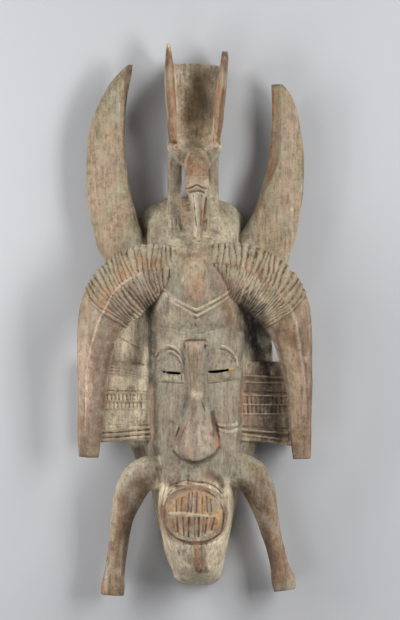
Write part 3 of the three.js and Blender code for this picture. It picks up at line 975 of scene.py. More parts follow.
# Lines carved on the front: what carries them, width, height (below 0 for a cut), and their points
LINES = [
    (face_height, 3.4, 1.9, [
        (-46.8, 46.8), (-38.4, 37.2), (-28.8, 28.8), (-18, 21.6), (-7.2, 15.6), (0.6, 12)
    ]),
    (face_height, 3.4, 1.9, [(0.6, 12), (9.6, 16.2), (20.4, 21.6), (30, 27.6), (39.6, 34.8)]),
    (face_height, 3.4, 1.9, [(-33.6, 22.8), (-24, 18.6), (-14.4, 13.2), (-4.8, 7.8), (1.2, 4.8)]),
    (face_height, 3.4, 1.9, [(1.2, 4.8), (9.6, 9), (20.4, 15.6), (31.2, 22.8), (38.4, 27.6)]),
    (face_height, 3.4, -1.5, [(-0.6, 3.6), (-0.6, -6)]),
    (face_height, 3.4, -0.8, [
        (-51.6, -6), (-37.2, -8.4), (-19.2, -12), (1.2, -16.2), (19.2, -12), (38.4, -7.2), (54, -2.4)
    ]),
    (face_height, 3.2, 1.4, [(25.5, -125), (32, -126.6), (41, -126.6), (50, -124)]),
    (face_height, 3.4, 1.4, [(27.6, -130.8), (34, -133.6), (41, -134.6), (50, -131.5)]),
    (face_height, 2, -1.2, [(27, -128.2), (40, -130.4), (50, -127.6)]),
    (face_height, 2.6, 0.9, [
        (-51.6, -30), (-53.4, -66), (-54, -96), (-52.2, -126), (-48.6, -150), (-44.4, -174),
        (-39.6, -192)
    ]),
    (face_height, 2.6, 0.9, [
        (52.8, -36), (52.2, -72), (51.6, -102), (50.4, -132), (46.8, -156), (43.2, -174), (39, -192)
    ]),
    (face_height, 2.4, -1.2, [(-44.4, -74.4), (-28.8, -75), (-14.4, -75.6)]),
    (face_height, 2.4, -1.2, [(14.4, -75.6), (31.2, -73.8), (51.6, -70.8)]),
    (anywhere, 1.8, -1.5, [(-17, -65.2), (-17, -72.5)]),
    (anywhere, 2.8, -2.2, [
        (-27.6, -196.8), (-19.2, -193.6), (-9.6, -191.4), (0, -193.8), (12, -194.6), (22.8, -199.2),
        (30, -207)
    ]),
    (anywhere, 2.2, -1.8, [(-9.6, -186), (-9.4, -197)]),
    (anywhere, 3.2, 1.4, [(-33.6, -207), (-28, -198.6), (-24, -191)]),
    (anywhere, 11, -2, [(14, -182), (25, -189), (31, -199)]),
    (anywhere, 3, 0.9, [(-20, -176), (-8, -173), (4, -177)]),
    (anywhere, 3, -0.7, [(-26, -183), (-14, -180), (2, -182)]),
    (anywhere, 3, -1.3, [(-103.2, -306), (-103.8, -331.2)]),
    (anywhere, 2.4, -1.3, [(-92, -21), (-82.4, -26.8), (-71.6, -32.8), (-66, -35)]),
    (anywhere, 2.4, 0.8, [
        (-65, 56.4), (-75, 51), (-86.4, 44.4), (-99.6, 31.2), (-108, 14.4), (-116.4, -2.4), (-123.6, -24),
        (-128.4, -48), (-130.8, -72), (-132, -108), (-132.6, -132)
    ]),
    (anywhere, 4.2, 1.1, [
        (112.8, 14.4), (118.8, -6), (122.4, -30), (126, -54), (129.6, -78), (131.4, -104), (131.6, -128)
    ]),
    (anywhere, 3.4, -0.6, [(-34, 99), (-26, 102), (-12, 103)]),
    (anywhere, 3.6, 1.3, [(-40, 96), (-29, 99.5), (-19, 97.5), (-10, 101)]),
    (anywhere, 3.6, 1.2, [(12, 98), (22, 94), (31, 95), (42, 88)]),
    (anywhere, 7, -2.6, [(-25.5, 213.6), (-25.1, 214.4)]),
    (anywhere, 5.4, -2, [(-23.6, 207), (-23.8, 208)]),
    (anywhere, 5.4, -1.8, [(22.4, 211), (22, 212.4)]),
    (anywhere, 3.4, 1.6, [(-13, 172), (-4, 171.4), (6, 171.4), (14.6, 172)]),
    (anywhere, 3.6, 2.4, [(-14.4, 160), (-7.2, 160), (-1.8, 163.6), (3, 163.6), (8.6, 160), (15, 160)]),
    (anywhere, 3.2, 2.2, [(-12, 154.8), (-5, 156), (0, 158.6), (4, 157.6), (8, 155.6), (13, 154.4)]),
    (anywhere, 3, -1.8, [
        (-12.6, 157.6), (-6, 158.2), (-1, 161.2), (3.4, 160.8), (8, 157.8), (13.6, 157)
    ]),
    (anywhere, 3.2, -1.8, [(-8, 152), (-1, 154), (5, 154), (10, 151.4)]),
    (anywhere, 3, 1.5, [(-14.6, -129), (-10, -141.6), (-6.6, -154.8), (-3.4, -168)]),
    (anywhere, 2.4, -1.1, [(-15.5, -132), (-20, -146), (-23, -156)]),
    (anywhere, 2.4, 0.9, [(-18.5, -131), (-22.6, -144), (-25.8, -155)]),
    (anywhere, 2.6, -1.7, [(-20, -129), (-23, -138), (-28.4, -152)]),
    (anywhere, 2, -0.8, [(-11, -134), (-7.5, -150), (-5.5, -163)]),
    (anywhere, 5, -1.8, [(19.8, -110), (23.4, -124), (26.2, -138), (28.4, -152)]),
    (anywhere, 2.4, -1.2, [(6, -96), (10, -108), (9.8, -128)]),
    (anywhere, 2.8, 1.2, [(11, -104), (14, -118), (15.6, -128)]),
    (anywhere, 2, -0.6, [(3, -128), (4, -146), (3.4, -163)]),
    (anywhere, 2, -0.5, [(-1, -134), (0, -150), (0, -164)]),
    (anywhere, 2, -0.6, [(12, -134), (14.5, -148), (15.5, -160)]),
    (anywhere, 2, -1, [(-8.8, -32), (-8.6, -44), (-8, -58), (-6.4, -76)]),
    (anywhere, 2, -0.8, [(-3.6, -33), (-3.2, -52), (-2.6, -72), (-2.6, -86)]),
    (anywhere, 2, -0.8, [(1, -36), (1.4, -54), (1, -70), (0.4, -88)]),
    (anywhere, 2, -1, [(5.6, -32), (5.4, -50), (4.4, -68), (3, -86)]),
    (anywhere, 2.2, -1, [(-13.4, -34), (-13.6, -24.5)]),
    (anywhere, 2.2, -1, [(-13.6, -24.5), (9.6, -24)]),
    (anywhere, 2.2, -1, [(9.6, -24), (10, -33)]),
    (anywhere, 2.6, -1.5, [
        (-24, -158), (-15.6, -164.6), (-3.6, -170.4), (10.8, -165.8), (22.8, -159), (28, -151)
    ]),
    (anywhere, 3.4, 1.8, [(1.6, 148), (2.2, 132), (3, 113), (3.8, 94)]),
    (anywhere, 2.6, -1.5, [(-3.2, 149), (-1.6, 132), (0.4, 113)]),
    (anywhere, 2.6, -1.5, [(6.6, 149), (6.2, 132), (5.6, 113)]),
]
# Lines across the ears: width, height, then y at the outer and at the inner end
EAR_LINES = {
    "left": [
        (2.4, -1.4, -46.5, -54.5),
        (2.8, 1.3, -50, -58),
        (2.6, 1.1, -54, -62),
        (2.6, 1.1, -58, -66),
        (2.8, 1.7, -62, -70.5),
        (2.6, -1.1, -84.6, -86),
        (3, 1.8, -88.3, -88.5),
        (3, 1.8, -97.6, -97.8),
        (3, 1.8, -107, -107),
        (2, -0.9, -126.5, -126.5),
        (3.4, 2.4, -134, -129),
        (3.4, 2.4, -139.5, -135),
        (3.4, 2.7, -145.5, -140.5),
        (2.4, -1.3, -136.8, -132),
        (2.4, -1.3, -142.5, -137.8),
    ],
    "right": [
        (3, 1.7, -69.5, -66.5),
        (3, 1.7, -76, -74.5),
        (2.4, -1, -72.8, -70.5),
        (3, -1.4, -88, -86),
        (3, 1.7, -92, -90),
        (3, 1.7, -102, -102),
        (3, 1.7, -113, -113),
        (2.6, -1.5, -131, -128),
        (3.4, 2.2, -136.5, -132),
        (3.4, 2.2, -144, -138),
        (2.4, -1.2, -140.3, -135),
    ],
}
# Where those lines begin and end: x at the outer and at the inner end
EAR_ENDS = {"left": (-112, -56), "right": (110, 56)}
# Rows of little squares between those lines: y of the two ends, first and last x, pitch
EAR_SQUARES = {
    "left": [(-89.5, -97, -107, -62, 4.6), (-98.5, -106.5, -105, -62, 4.9)],
    "right": [(-93, -101, 56, 108, 5.2), (-103, -112, 57, 108, 4.9)],
}
# A short knife cut: width and height
SHORT_CUT = (2.2, -1.3)
BROW_WIDTH = 2.8
# The arcs over the eyes: height and points
BROWS = [
    (1.3, [(-48, -42), (-45, -36), (-37, -31), (-28, -32), (-19.5, -38), (-15, -47)]),
    (-0.9, [(-47, -44), (-42, -38), (-35.6, -34.6), (-28, -35.4), (-21, -41)]),
    (1.2, [(-46, -48), (-40, -40.6), (-32, -37.6), (-24, -40), (-18, -46), (-15.5, -54)]),
    (-0.9, [(-44.6, -50), (-39, -44), (-31, -41), (-23, -44.6), (-18.6, -51)]),
    (0.6, [(-52, -62), (-51, -50), (-47, -41)]),
    (1.3, [(30, -31), (36, -32.6), (43, -38), (49, -46), (50.6, -54)]),
    (-1, [(29, -34.6), (37, -37), (43, -42), (47, -50)]),
    (1.2, [(24, -37), (31.6, -37.4), (39, -42), (44.6, -49.6)]),
    (-0.8, [(25, -40.4), (32, -41), (38, -45), (42, -50.6)]),
    (0.6, [(13, -48), (16, -41), (22, -38)]),
]
# The cuts between the bird's toes: y of the two ends, and where each is
BIRD_TOES = {"y": (121, 109), "x": (-34.2, -28.8, -23.4, -18, 13.2, 18.6, 24)}
# The teeth are dark gaps in the plate: x at the bar, x and y of the other end, width and depth
GAPS = [
    (-23.4, -23.6, -216, 3.4, -1.4),
    (-18, -16.8, -212, 3.1, -1.4),
    (-9.6, -8.4, -207, 3.6, -1.7),
    (-5.4, -4.2, -206, 3.1, -1.5),
    (0.6, 1.2, -205.6, 4.2, -1.7),
    (7.2, 7.6, -208, 3.6, -1.5),
    (13.6, 12.6, -211, 3.6, -1.7),
    (18.4, 17.6, -214, 3.1, -1.4),
    (-27.6, -25.8, -248, 3.1, -1.2),
    (-22.4, -21.6, -252, 4.2, -1.9),
    (-15.6, -14.4, -256, 3.6, -1.9),
    (-8.6, -9, -258, 4.2, -2),
    (-1.8, -1.4, -258, 3.1, -1.4),
    (3.4, 2.8, -258, 4.8, -2.2),
    (9, 7.6, -257, 3.1, -1.5),
    (13, 10.6, -255, 3.9, -1.9),
    (22, 18.6, -250, 4.2, -2),
]
# The bar between the teeth: where the gaps over and under it begin, and its width, height and points
BAR_EDGES = (-228.5, -236)
TEETH_BAR = (3.2, 1, [(-33, -231), (-18, -229.6), (-4, -231.4), (12, -233.6), (25, -233.4)])
# The grooves inside and outside the ring of the mouth
RING_GROOVES = [
    (2.8, -1.5, [
        (0, -201), (11, -204), (20.5, -209), (27.5, -216), (31.5, -225.5), (32.5, -236.5), (31, -248.5),
        (26.5, -257), (17, -263), (5, -265), (-9.5, -264.5), (-21.5, -262.5), (-31, -255.5),
        (-36, -246), (-37.5, -236.5), (-37.5, -225.5), (-35, -215), (-29, -207.5), (-19, -203),
        (-9.5, -201.5), (0, -201)
    ]),
    (2.6, -1.2, [
        (21.5, -202.5), (29, -209), (35, -216), (38, -225.5), (38.5, -235), (36.5, -245), (34, -253),
        (26.5, -261.5), (14.5, -267), (0, -268.5), (-15.5, -266.5), (-29, -261.5), (-37, -253),
        (-41.5, -242.5), (-42.5, -230.5), (-41, -221), (-36, -212.5), (-29, -204)
    ]),
]
# The diamond on the forehead: y of its top, of its corners at the side and of its foot, and its half width
LOZENGE = (66, 42, 15, 16)
# How far over or under the plain face or ear a line still lies on it
FACE_DEPTH = 7


def beside(x, y, points):
    """How far each place is from a line over the front, which bends smoothly through its points."""
    if len(points) > 2:
        points = along_line(points)(np.linspace(0, 1, 4 * len(points) - 3))
    nearest = np.full(len(x), np.inf)
    for (x1, y1), (x2, y2) in zip(points, points[1:]):
        long, high = x2 - x1, y2 - y1
        part = np.clip(((x - x1) * long + (y - y1) * high) / (long**2 + high**2), 0, 1)
        nearest = np.minimum(nearest, np.hypot(x - x1 - part * long, y - y1 - part * high))
    return nearest


def carve_line(surface, carrier, width, height, points):
    """Raises or cuts one line on the front."""
    xs, ys = zip(*points)
    x, y, z = surface.at.T
    near = (x > min(xs) - width) & (x < max(xs) + width) & (y > min(ys) - width) & (y < max(ys) + width)
    near &= surface.normal[:, 2] > 0.2
    near = np.nonzero(near)[0]
    seat = carrier(x[near], y[near])
    if seat is not None:
        near = near[np.abs(z[near] - seat) < FACE_DEPTH]
    # The line wavers like a knife's, is rubbed lower in places, and stands in a shallow dip if it is raised
    away = beside(x[near], y[near], points) + 0.35 * wander(surface.at[near], 3.5, 4)
    worn = np.clip(0.85 + 0.5 * wander(surface.at[near], 8, 3), 0.15, 1.3)
    foot = width * 0.62
    amount = height * worn * smooth_step(foot, 0, away)
    if height > 0:
        amount -= 0.2 * height * within(away, foot, width * 0.95, width * 0.2)
    surface.at[near, 2] += amount
    surface.marks[near] += amount


def carve_brows(surface):
    """The arcs over the eyes, crisp in some places and rubbed away in others."""
    for height, points in BROWS:
        carve_line(surface, face_height, BROW_WIDTH, height, points)


def carve_ears(surface):
    for side, lines in EAR_LINES.items():
        outer, inner = EAR_ENDS[side]
        for width, height, y_outer, y_inner in lines:
            carve_line(surface, ear_height, width, height, [(outer, y_outer), (inner, y_inner)])
        for y_top, y_bottom, first, last, pitch in EAR_SQUARES[side]:
            for x in np.arange(first, last, pitch):
                carve_line(surface, ear_height, *SHORT_CUT, [(x, y_top), (x + 0.3, y_bottom)])


def carve_teeth(surface):
    """Gaps above and below a light bar, and the dark groove round the plate."""
    for x_bar, x_end, y_end, width, depth in GAPS:
        start = BAR_EDGES[0] if y_end > BAR_EDGES[0] else BAR_EDGES[1]
        carve_line(surface, anywhere, width, depth, [(x_bar, start), (x_end, y_end)])
    carve_line(surface, anywhere, *TEETH_BAR)
    for width, depth, points in RING_GROOVES:
        carve_line(surface, anywhere, width, depth, points)


def carve_toes(surface):
    top, bottom = BIRD_TOES["y"]
    for x in BIRD_TOES["x"]:
        carve_line(surface, anywhere, *SHORT_CUT, [(x, top), (x + 0.6, bottom)])


def carve_lozenge(surface):
    """A low diamond on the forehead with a keel down its middle."""
    x, y, z = surface.at.T
    top, side, bottom, wide = LOZENGE
    tall = np.where(y > side, top - side, side - bottom)
    inside = 1 - np.abs(x + 0.6) / wide - np.abs(y - side) / tall
    there = (inside > 0) & (np.abs(z - face_height(x, y)) < FACE_DEPTH) & (surface.normal[:, 2] > 0.2)
    surface.at[:, 2] += (1.2 * smooth_step(0, 0.1, inside) + 2 * inside) * there


def carve_unevenness(surface):
    """The hand of the carver: soft waves all over, and the dished marks of the adze where nobody looks."""
    at = surface.at
    waves = 0.45 * wander(at, (26, 34, 26), 5) + 0.22 * wander(at, (9, 15, 9), 6)
    depth = at[:, 2]
    behind = np.clip(smooth_step(34, 10, depth) + smooth_step(0.1, -0.4, surface.normal[:, 2]), 0, 1)
    marks = 1.1 * scoops(at, (13, 19, 13), 11) * behind + 0.5 * scoops(at, (9, 17, 9), 12) * (1 - behind)
    flat_back = smooth_step(0.2, 1.5, depth)
    surface.at += surface.normal * ((waves + marks - 0.4) * flat_back)[:, None]


# How many points are compared with the line of a horn at once
AT_ONCE = 4000


def measure_ribs(surface):
    """Counts the ribs for the material: outer and inner count, side of the ridge, and where ribs are."""
    x, y, z = surface.at.T
    found = {name: np.zeros(len(x)) for name in ("rib_outer", "rib_inner", "rib_side", "ribbed")}
    for side in ("left", "right"):
        hand = 1 if side == "left" else -1
        line = along_line(CURLED[side])
        t = np.linspace(0, 0.62, 320)
        values = line(t)
        ahead = np.gradient(values[:, :3], axis=0)
        ahead /= np.linalg.norm(ahead, axis=1, keepdims=True)
        aside = np.cross(ahead, [0, 0, 1])
        aside /= np.linalg.norm(aside, axis=1, keepdims=True)
        front = np.cross(aside, ahead)
        near = (x * hand < 4) & (y > -34) & (y < 104) & (z > 40) & (surface.normal[:, 2] > -0.1)
        near = np.nonzero(near)[0]
        at = surface.at[near]
        which = np.empty(len(near), int)
        for start in range(0, len(near), AT_ONCE):
            some = slice(start, start + AT_ONCE)
            gap = at[some, None, :2] - values[None, :, :2]
            which[some] = (gap**2).sum(axis=2).argmin(axis=1)
        gap = at - values[which, :3]
        gone = length_along(line)(t[which]) + (gap * ahead[which]).sum(axis=1)
        out = hand * (gap * aside[which]).sum(axis=1)
        lift = (gap * front[which]).sum(axis=1)
        half = values[which, 3]
        there = (np.abs(out) < half * 1.06) & (np.abs(lift) < 34)
        ridge = ridge_place(t[which], side) * half
        outer, inner, ribbed = rib_counts(side, t[which], gone, out, ridge)
        for name, value in (
            ("rib_outer", outer),
            ("rib_inner", inner),
            ("rib_side", out - ridge),
            ("ribbed", ribbed * smooth_step(-9, -3, lift)),
        ):
            found[name][near[there]] = value[there]
    return found


def carve(surface):
    carve_unevenness(surface)
    carve_lozenge(surface)
    for line in LINES:
        carve_line(surface, *line)
    carve_brows(surface)
    carve_ears(surface)
    carve_teeth(surface)
    carve_toes(surface)
    surface.face()


# The tones of the wood, its dust and its wear, and of the painted shade and painted light laid on it
TONES = {
    "dust": (0.265, 0.225, 0.15),
    "olive": (0.225, 0.195, 0.11),
    "green": (0.265, 0.25, 0.18),
    "grey": (0.27, 0.235, 0.18),
    "tan": (0.34, 0.242, 0.155),
    "rose": (0.37, 0.262, 0.19),
    "chalk": (0.43, 0.36, 0.25),
    "lilac": (0.24, 0.175, 0.135),
    "brown": (0.17, 0.105, 0.056),
    "red": (0.24, 0.105, 0.052),
    "orange": (0.4, 0.21, 0.1),
    "fresh": (0.52, 0.31, 0.1),
    "pale": (0.66, 0.5, 0.38),
    "cream": (0.56, 0.48, 0.33),
    "bone": (0.8, 0.67, 0.47),
    "dark": (0.055, 0.038, 0.024),
    "black": (0.012, 0.009, 0.007),
}
# What each part wears, in the order that the parts cover each other: two tones that mottle it, and how much
# it is polished by handling
COATS = {
    "face": ("dust", "grey", 0.1),
    # The muzzle's coat is painted light: paler than its wood, to light its downward slope
    "muzzle": ("bone", "cream", 0.1),
    "broad_horn": ("tan", "olive", 0.3),
    "curled_horn": ("tan", "brown", 0.7),
    "ribs": ("tan", "olive", 0.15),
    # The plate's coat is painted light: pale, to light the dished plate that the blades shade
    "plate": ("cream", "chalk", 0.1),
    "wing": ("olive", "brown", 0.2),
    "blade": ("red", "brown", 0.4),
    "strut": ("olive", "grey", 0.15),
    "neck": ("tan", "olive", 0.25),
    "beak": ("tan", "rose", 0.3),
    "dome": ("chalk", "green", 0.1),
    "leg": ("brown", "tan", 0.45),
    "knee": ("grey", "green", 0.3),
    # The ears' coat is painted light: pale, to light the left ear in the curled horn's shadow; painted
    # shade darkens the right ear
    "ear": ("bone", "cream", 0.1),
    "nose": ("grey", "rose", 0.25),
    "ring": ("brown", "grey", 0.2),
    "teeth": ("tan", "orange", 0.2),
    "tongue": ("tan", "chalk", 0.3),
    "back": ("brown", "olive", 0),
    "inside": ("dark", "brown", 0),
}
# Strokes of tone laid on the front, each over those before it: tone, half width, strength, points. Most are
# stains, tints and wear; the groups marked below are painted shade and painted light
STROKES = [
    ("dark", 5, 0.5, [(4, 289), (8, 276)]),
    ("lilac", 11, 0.5, [(-3, 262), (6, 240)]),
    ("dust", 8, 0.5, [(20.5, 294), (20.5, 234)]),
    ("brown", 4, 0.35, [(1, 209), (3.5, 194.5)]),
    ("dark", 1.6, 0.7, [(-35.5, 321.5), (-33.5, 294), (-31, 264), (-27, 225.5)]),
    ("orange", 2.4, 0.5, [(-30.5, 312), (-29.5, 288), (-26.5, 252), (-24.5, 228)]),
    ("dark", 1.6, 0.5, [(36.5, 319), (34.5, 288), (30, 258), (26.5, 223)]),
    ("orange", 2.6, 0.45, [(31, 305), (28.5, 276), (24.5, 246), (23, 225.5)]),
    ("dark", 3.4, 0.5, [(33.5, 321.5), (32.5, 312)]),
    ("cream", 2.4, 1, [(-33, 331), (-31, 328)]),
    ("fresh", 1.6, 0.8, [(-32, 327.5), (-31, 324)]),
    ("cream", 2, 0.7, [(31.5, 325), (34.5, 324.5)]),
    # Painted shade in the hole of the left knob
    ("black", 2.4, 0.9, [(-25.5, 215), (-24.5, 213.5)]),
    ("lilac", 4, 0.6, [(-26.5, 209), (-21.5, 206.5)]),
    # Painted shade in the hole of the left knob
    ("dark", 1.6, 0.7, [(-24, 208), (-23, 207)]),
    ("lilac", 4, 0.6, [(20.5, 212.5), (24, 207.5)]),
    ("red", 4, 0.55, [(-9.5, 175), (-3.5, 185)]),
    ("brown", 5, 0.5, [(9.5, 192), (12, 173)]),
    ("cream", 3.4, 0.4, [(-11, 204), (-8.5, 185)]),
    ("rose", 6, 0.5, [(-9.5, 166), (12, 166)]),
    ("cream", 2, 0.5, [(-12, 159), (-2.5, 162.5), (8.5, 159)]),
    ("lilac", 1.3, 0.9, [(2.5, 146.5), (3.5, 98.5)]),
    ("cream", 1.6, 0.8, [(-1, 145), (1, 96)]),
    ("red", 2.4, 0.5, [(9.5, 146.5), (7, 115)]),
    ("orange", 1.6, 0.4, [(-7, 144), (-3.5, 117.5)]),
    ("lilac", 4.5, 0.4, [(-29, 192), (-27.5, 126)]),
    ("dark", 2, 0.5, [(-20.5, 204), (-18.5, 182.5)]),
    ("lilac", 3, 0.35, [(23, 192), (21.5, 132)]),
    ("brown", 2, 0.45, [(15.5, 138), (18, 108)]),
    ("dust", 12, 0.5, [(-45.5, 129.5), (-43, 105.5)]),
    ("brown", 7, 0.35, [(-17, 96), (12, 89)]),
    ("olive", 8, 0.5, [(31, 138), (43, 114)]),
    ("dark", 3, 0.4, [(-21.5, 89), (21.5, 87.5)]),
    ("red", 8, 0.5, [(-48, 69.5), (-63.5, 63.5), (-79, 57.5), (-93.5, 47), (-103, 33.5)]),
    ("orange", 4, 0.45, [(-50.5, 65), (-66, 59), (-81.5, 51.5), (-95, 41)]),
    ("brown", 4, 0.5, [(-57.5, 60), (-56.5, 72)]),
    ("lilac", 17, 0.6, [(-53, 43), (-72, 29), (-93.5, 9.5)]),
    ("brown", 7, 0.5, [(-55, 33.5), (-72, 17), (-86.5, -2.5)]),
    ("olive", 9, 0.4, [(-33.5, 81.5), (-67, 77), (-101, 57.5), (-120, 33.5)]),
    ("cream", 12, 0.45, [(48, 50.5), (65, 36), (86.5, 9.5)]),
    ("red", 4.5, 0.5, [(41, 68.5), (60, 65), (74.5, 54), (87.5, 41)]),
    ("olive", 9, 0.45, [(33.5, 84), (65, 81.5), (96, 67), (122.5, 36)]),
    ("brown", 6, 0.5, [(50.5, 24), (67, 9.5), (84, -7)]),
    ("black", 1.3, 0.85, [(48, 30), (54, 37)]),
    ("black", 1.3, 0.85, [(55, 25), (61, 32.5)]),
    ("black", 1.3, 0.85, [(56.5, 18), (62.5, 24.5)]),
    ("black", 1.3, 0.85, [(65, 30), (71, 39)]),
    ("black", 1.3, 0.85, [(60, 36), (65, 43)]),
    ("black", 1.3, 0.85, [(74, 30), (78, 36)]),
    ("black", 1.3, 0.85, [(80, 13), (84, 19)]),
    ("black", 1.3, 0.85, [(67, 19), (72, 25)]),
    ("black", 1.2, 0.8, [(-56.5, 49), (-47, 32.5)]),
    ("black", 1.2, 0.8, [(-65, 35), (-56.5, 19)]),
    ("black", 1.2, 0.8, [(-69.5, 26.5), (-61, 13)]),
    ("black", 1.2, 0.8, [(-79, 15.5), (-73, 5)]),
    ("black", 1.2, 0.8, [(-80.5, 38.5), (-77, 27.5)]),
    ("black", 1.2, 0.8, [(-69.5, 85), (-69.5, 74.5)]),
    ("black", 1.2, 0.8, [(-30, 86.5), (-30, 77)]),
    ("black", 1.2, 0.8, [(-42.5, 86.5), (-42.5, 78)]),
    ("black", 1.2, 0.8, [(-36, 86.5), (-36, 80.5)]),
    ("grey", 9, 0.6, [(-29, 42), (-21.5, 24)]),
    ("rose", 9, 0.55, [(-7, 57.5), (-5, 31)]),
    ("red", 3, 0.55, [(1, 43), (3.5, 26.5)]),
    ("dark", 7, 0.45, [(20.5, 62.5), (24, 24)]),
    ("orange", 6, 0.75, [(-6, 188.5), (0, 177.5), (6, 187)]),
    ("red", 4, 0.7, [(-9.5, 194.5), (-7, 177.5)]),
    ("brown", 4, 0.7, [(7, 192), (12, 173)]),
    ("dark", 2.4, 0.6, [(-11, 149), (-7, 127)]),
    ("red", 2.6, 0.6, [(-14.5, 149), (-12, 117.5)]),
    ("lilac", 3, 0.9, [(4, 149), (5, 117.5), (3.5, 98.5)]),
    ("red", 2.4, 0.6, [(9.5, 149), (8.5, 125)]),
    ("cream", 2, 0.7, [(-1, 149), (0, 101)]),
    ("lilac", 7, 0.6, [(-23, 149), (-21.5, 113)]),
    ("dark", 2, 0.6, [(-27.5, 115), (-26.5, 105.5)]),
    ("olive", 5, 0.6, [(-21.5, 93.5), (-7, 101)]),
    # Painted shade on the left side of the dome, beside the left broad horn
    ("brown", 7, 0.6, [(-72, 117.5), (-67, 129.5)]),
    ("dark", 3, 0.6, [(-60, 108), (-65, 96)]),
    ("brown", 3, 0.6, [(-81.5, 305), (-84, 276), (-83, 240)]),
    ("dark", 2.4, 0.6, [(-80.5, 307), (-83, 293)]),
    ("olive", 9, 0.35, [(-110.5, 273.5), (-125, 228), (-129.5, 180)]),
    ("rose", 12, 0.35, [(-105.5, 192), (-101, 144)]),
    ("rose", 10, 0.4, [(113, 228), (108, 180)]),
    # Painted shade down both sides of the face, with some dirt where the face meets the head
    ("dark", 5.5, 0.8, [(-51, 21.5), (-52, -24), (-52, -72), (-50.5, -120), (-47, -158.5)]),
    ("dark", 6, 0.55, [(54, 9.5), (56.5, -36), (56.5, -96), (54, -144)]),
    ("brown", 5, 0.45, [(31, 24), (43, -6)]),
    ("cream", 9, 0.3, [(-24, 2.5), (14.5, -12)]),
    ("cream", 6, 0.35, [(-37, -30), (-18, -26.5)]),
    ("dark", 3, 0.4, [(12, 69.5), (24, 36)]),
    ("cream", 12, 0.45, [(-24, -305), (21.5, -305)]),
    ("cream", 7, 0.5, [(42, -199), (41, -240), (36, -270)]),
    ("brown", 3, 0.5, [(-42, -225.5), (-41, -242.5), (-33.5, -259), (-14.5, -267.5)]),
    ("red", 7, 0.55, [(-67, -194.5), (-78, -213.5), (-84, -240)]),
    # Painted shade on the inner side of the left leg where it leaves the head
    ("dark", 4, 0.4, [(-55, -189.5), (-68.5, -206.5), (-77, -230.5)]),
    ("cream", 6, 0.35, [(71, -216), (79, -252)]),
    ("orange", 9, 0.35, [(-108, -324), (-96, -324)]),
    ("brown", 7, 0.4, [(86.5, -216), (96, -264), (108, -306)]),
    ("cream", 7, 0.4, [(-93.5, -185), (-79, -173)]),
    ("brown", 7, 0.5, [(117.5, 24), (125, 0), (127, -30)]),
    ("orange", 3, 0.5, [(-99.5, 0), (-108, -30), (-113, -72), (-114, -132)]),
    ("orange", 3, 0.4, [(-89, 307), (-110.5, 283), (-123.5, 252), (-131, 204)]),
    ("orange", 3, 0.4, [(107, 281), (125, 240), (129.5, 192)]),
    ("cream", 8, 0.5, [(-17, 144), (-14.5, 105.5)]),
    ("cream", 8, 0.4, [(14.5, 158.5), (19, 114)]),
    ("red", 5, 0.6, [(69.5, -180), (79, -194.5)]),
    ("brown", 7, 0.5, [(30, 36), (36, 9.5)]),
    ("green", 9, 0.5, [(-13, -9.5), (17, -14.5)]),
    ("brown", 5, 0.35, [(-48, 24), (-47, -12)]),
    ("cream", 3.4, 0.75, [(-36, -69), (-19, -71)]),
    ("cream", 1.6, 0.7, [(-15.5, -66), (-14.5, -74.5)]),
    ("fresh", 1.8, 0.95, [(35.5, -59.5), (42.5, -58.5)]),
    ("red", 1.4, 0.6, [(39.5, -62.5), (43, -60)]),
    ("dark", 2, 0.45, [(-43, -59), (-39.5, -61)]),
    ("brown", 3, 0.35, [(-21.5, -37), (-29, -33.5)]),
    ("brown", 3.6, 0.4, [(-45.5, -101), (-43, -126)]),
    ("cream", 1.9, 0.8, [(26, -126), (36, -126.5), (49, -125)]),
    ("cream", 2.1, 0.8, [(29, -132), (39.5, -134.5), (49, -132)]),
    ("lilac", 5, 0.4, [(24, -117.5), (45.5, -141.5)]),
    ("rose", 5, 0.9, [(-12, -29), (8.5, -28)]),
    ("brown", 7, 0.75, [(-2.5, -38.5), (-1, -62.5)]),
    ("dark", 3, 0.3, [(-6, -38.5), (-5, -67)]),
    ("cream", 4, 0.55, [(-3.5, -88), (3.5, -90)]),
    ("brown", 4.6, 0.55, [(-2.5, -98.5), (-0.5, -125)]),
    ("lilac", 1.6, 0.9, [(7, -96), (9.5, -110.5), (9, -125)]),
    ("lilac", 15, 0.7, [(-6, -140), (10, -152)]),
    ("rose", 5, 0.5, [(-9, -138), (-6, -158)]),
    ("cream", 4, 0.4, [(11, -129.5), (14.5, -156)]),
    ("cream", 1.6, 0.6, [(3.5, -125), (5, -163)]),
    ("fresh", 1.5, 0.5, [(-13, -132), (-8.5, -150), (-4, -169)]),
    ("cream", 3, 0.7, [(-19, -120), (-21.5, -129.5)]),
    ("brown", 2.4, 0.6, [(-19, -132), (-24, -144)]),
    ("dark", 1.6, 0.75, [(-15.5, -132), (-20.5, -146.5), (-23.5, -158.5)]),
    ("cream", 1.4, 0.8, [(-23.5, -150), (-23, -158.5)]),
    ("red", 3.4, 0.9, [(20.5, -116.5), (24.5, -134.5), (26.5, -149)]),
    ("dark", 1.8, 0.8, [(18.5, -110.5), (21, -125), (21.5, -137)]),
    ("orange", 2.4, 0.85, [(25, -141.5), (26.5, -151)]),
    ("green", 10, 0.75, [(-19, -180), (-5, -175)]),
    ("dark", 5, 0.5, [(15.5, -183.5), (29, -192), (31, -204)]),
    ("red", 4, 0.45, [(13, -185), (24, -192)]),
    ("brown", 4, 0.4, [(39.5, -156), (36, -177.5)]),
    ("cream", 1.4, 0.6, [(-44.5, -163), (-39.5, -189.5), (-33.5, -209)]),
    ("cream", 4.4, 0.6, [(39.5, -194.5), (43, -216)]),
    ("dark", 3, 0.5, [(-29, -194.5), (-21.5, -188.5)]),
    ("orange", 2, 0.6, [(-9.5, -195), (-5, -195.5)]),
    ("rose", 2.6, 0.8, [(-23, -199.5), (-7, -198.5), (12, -199)]),
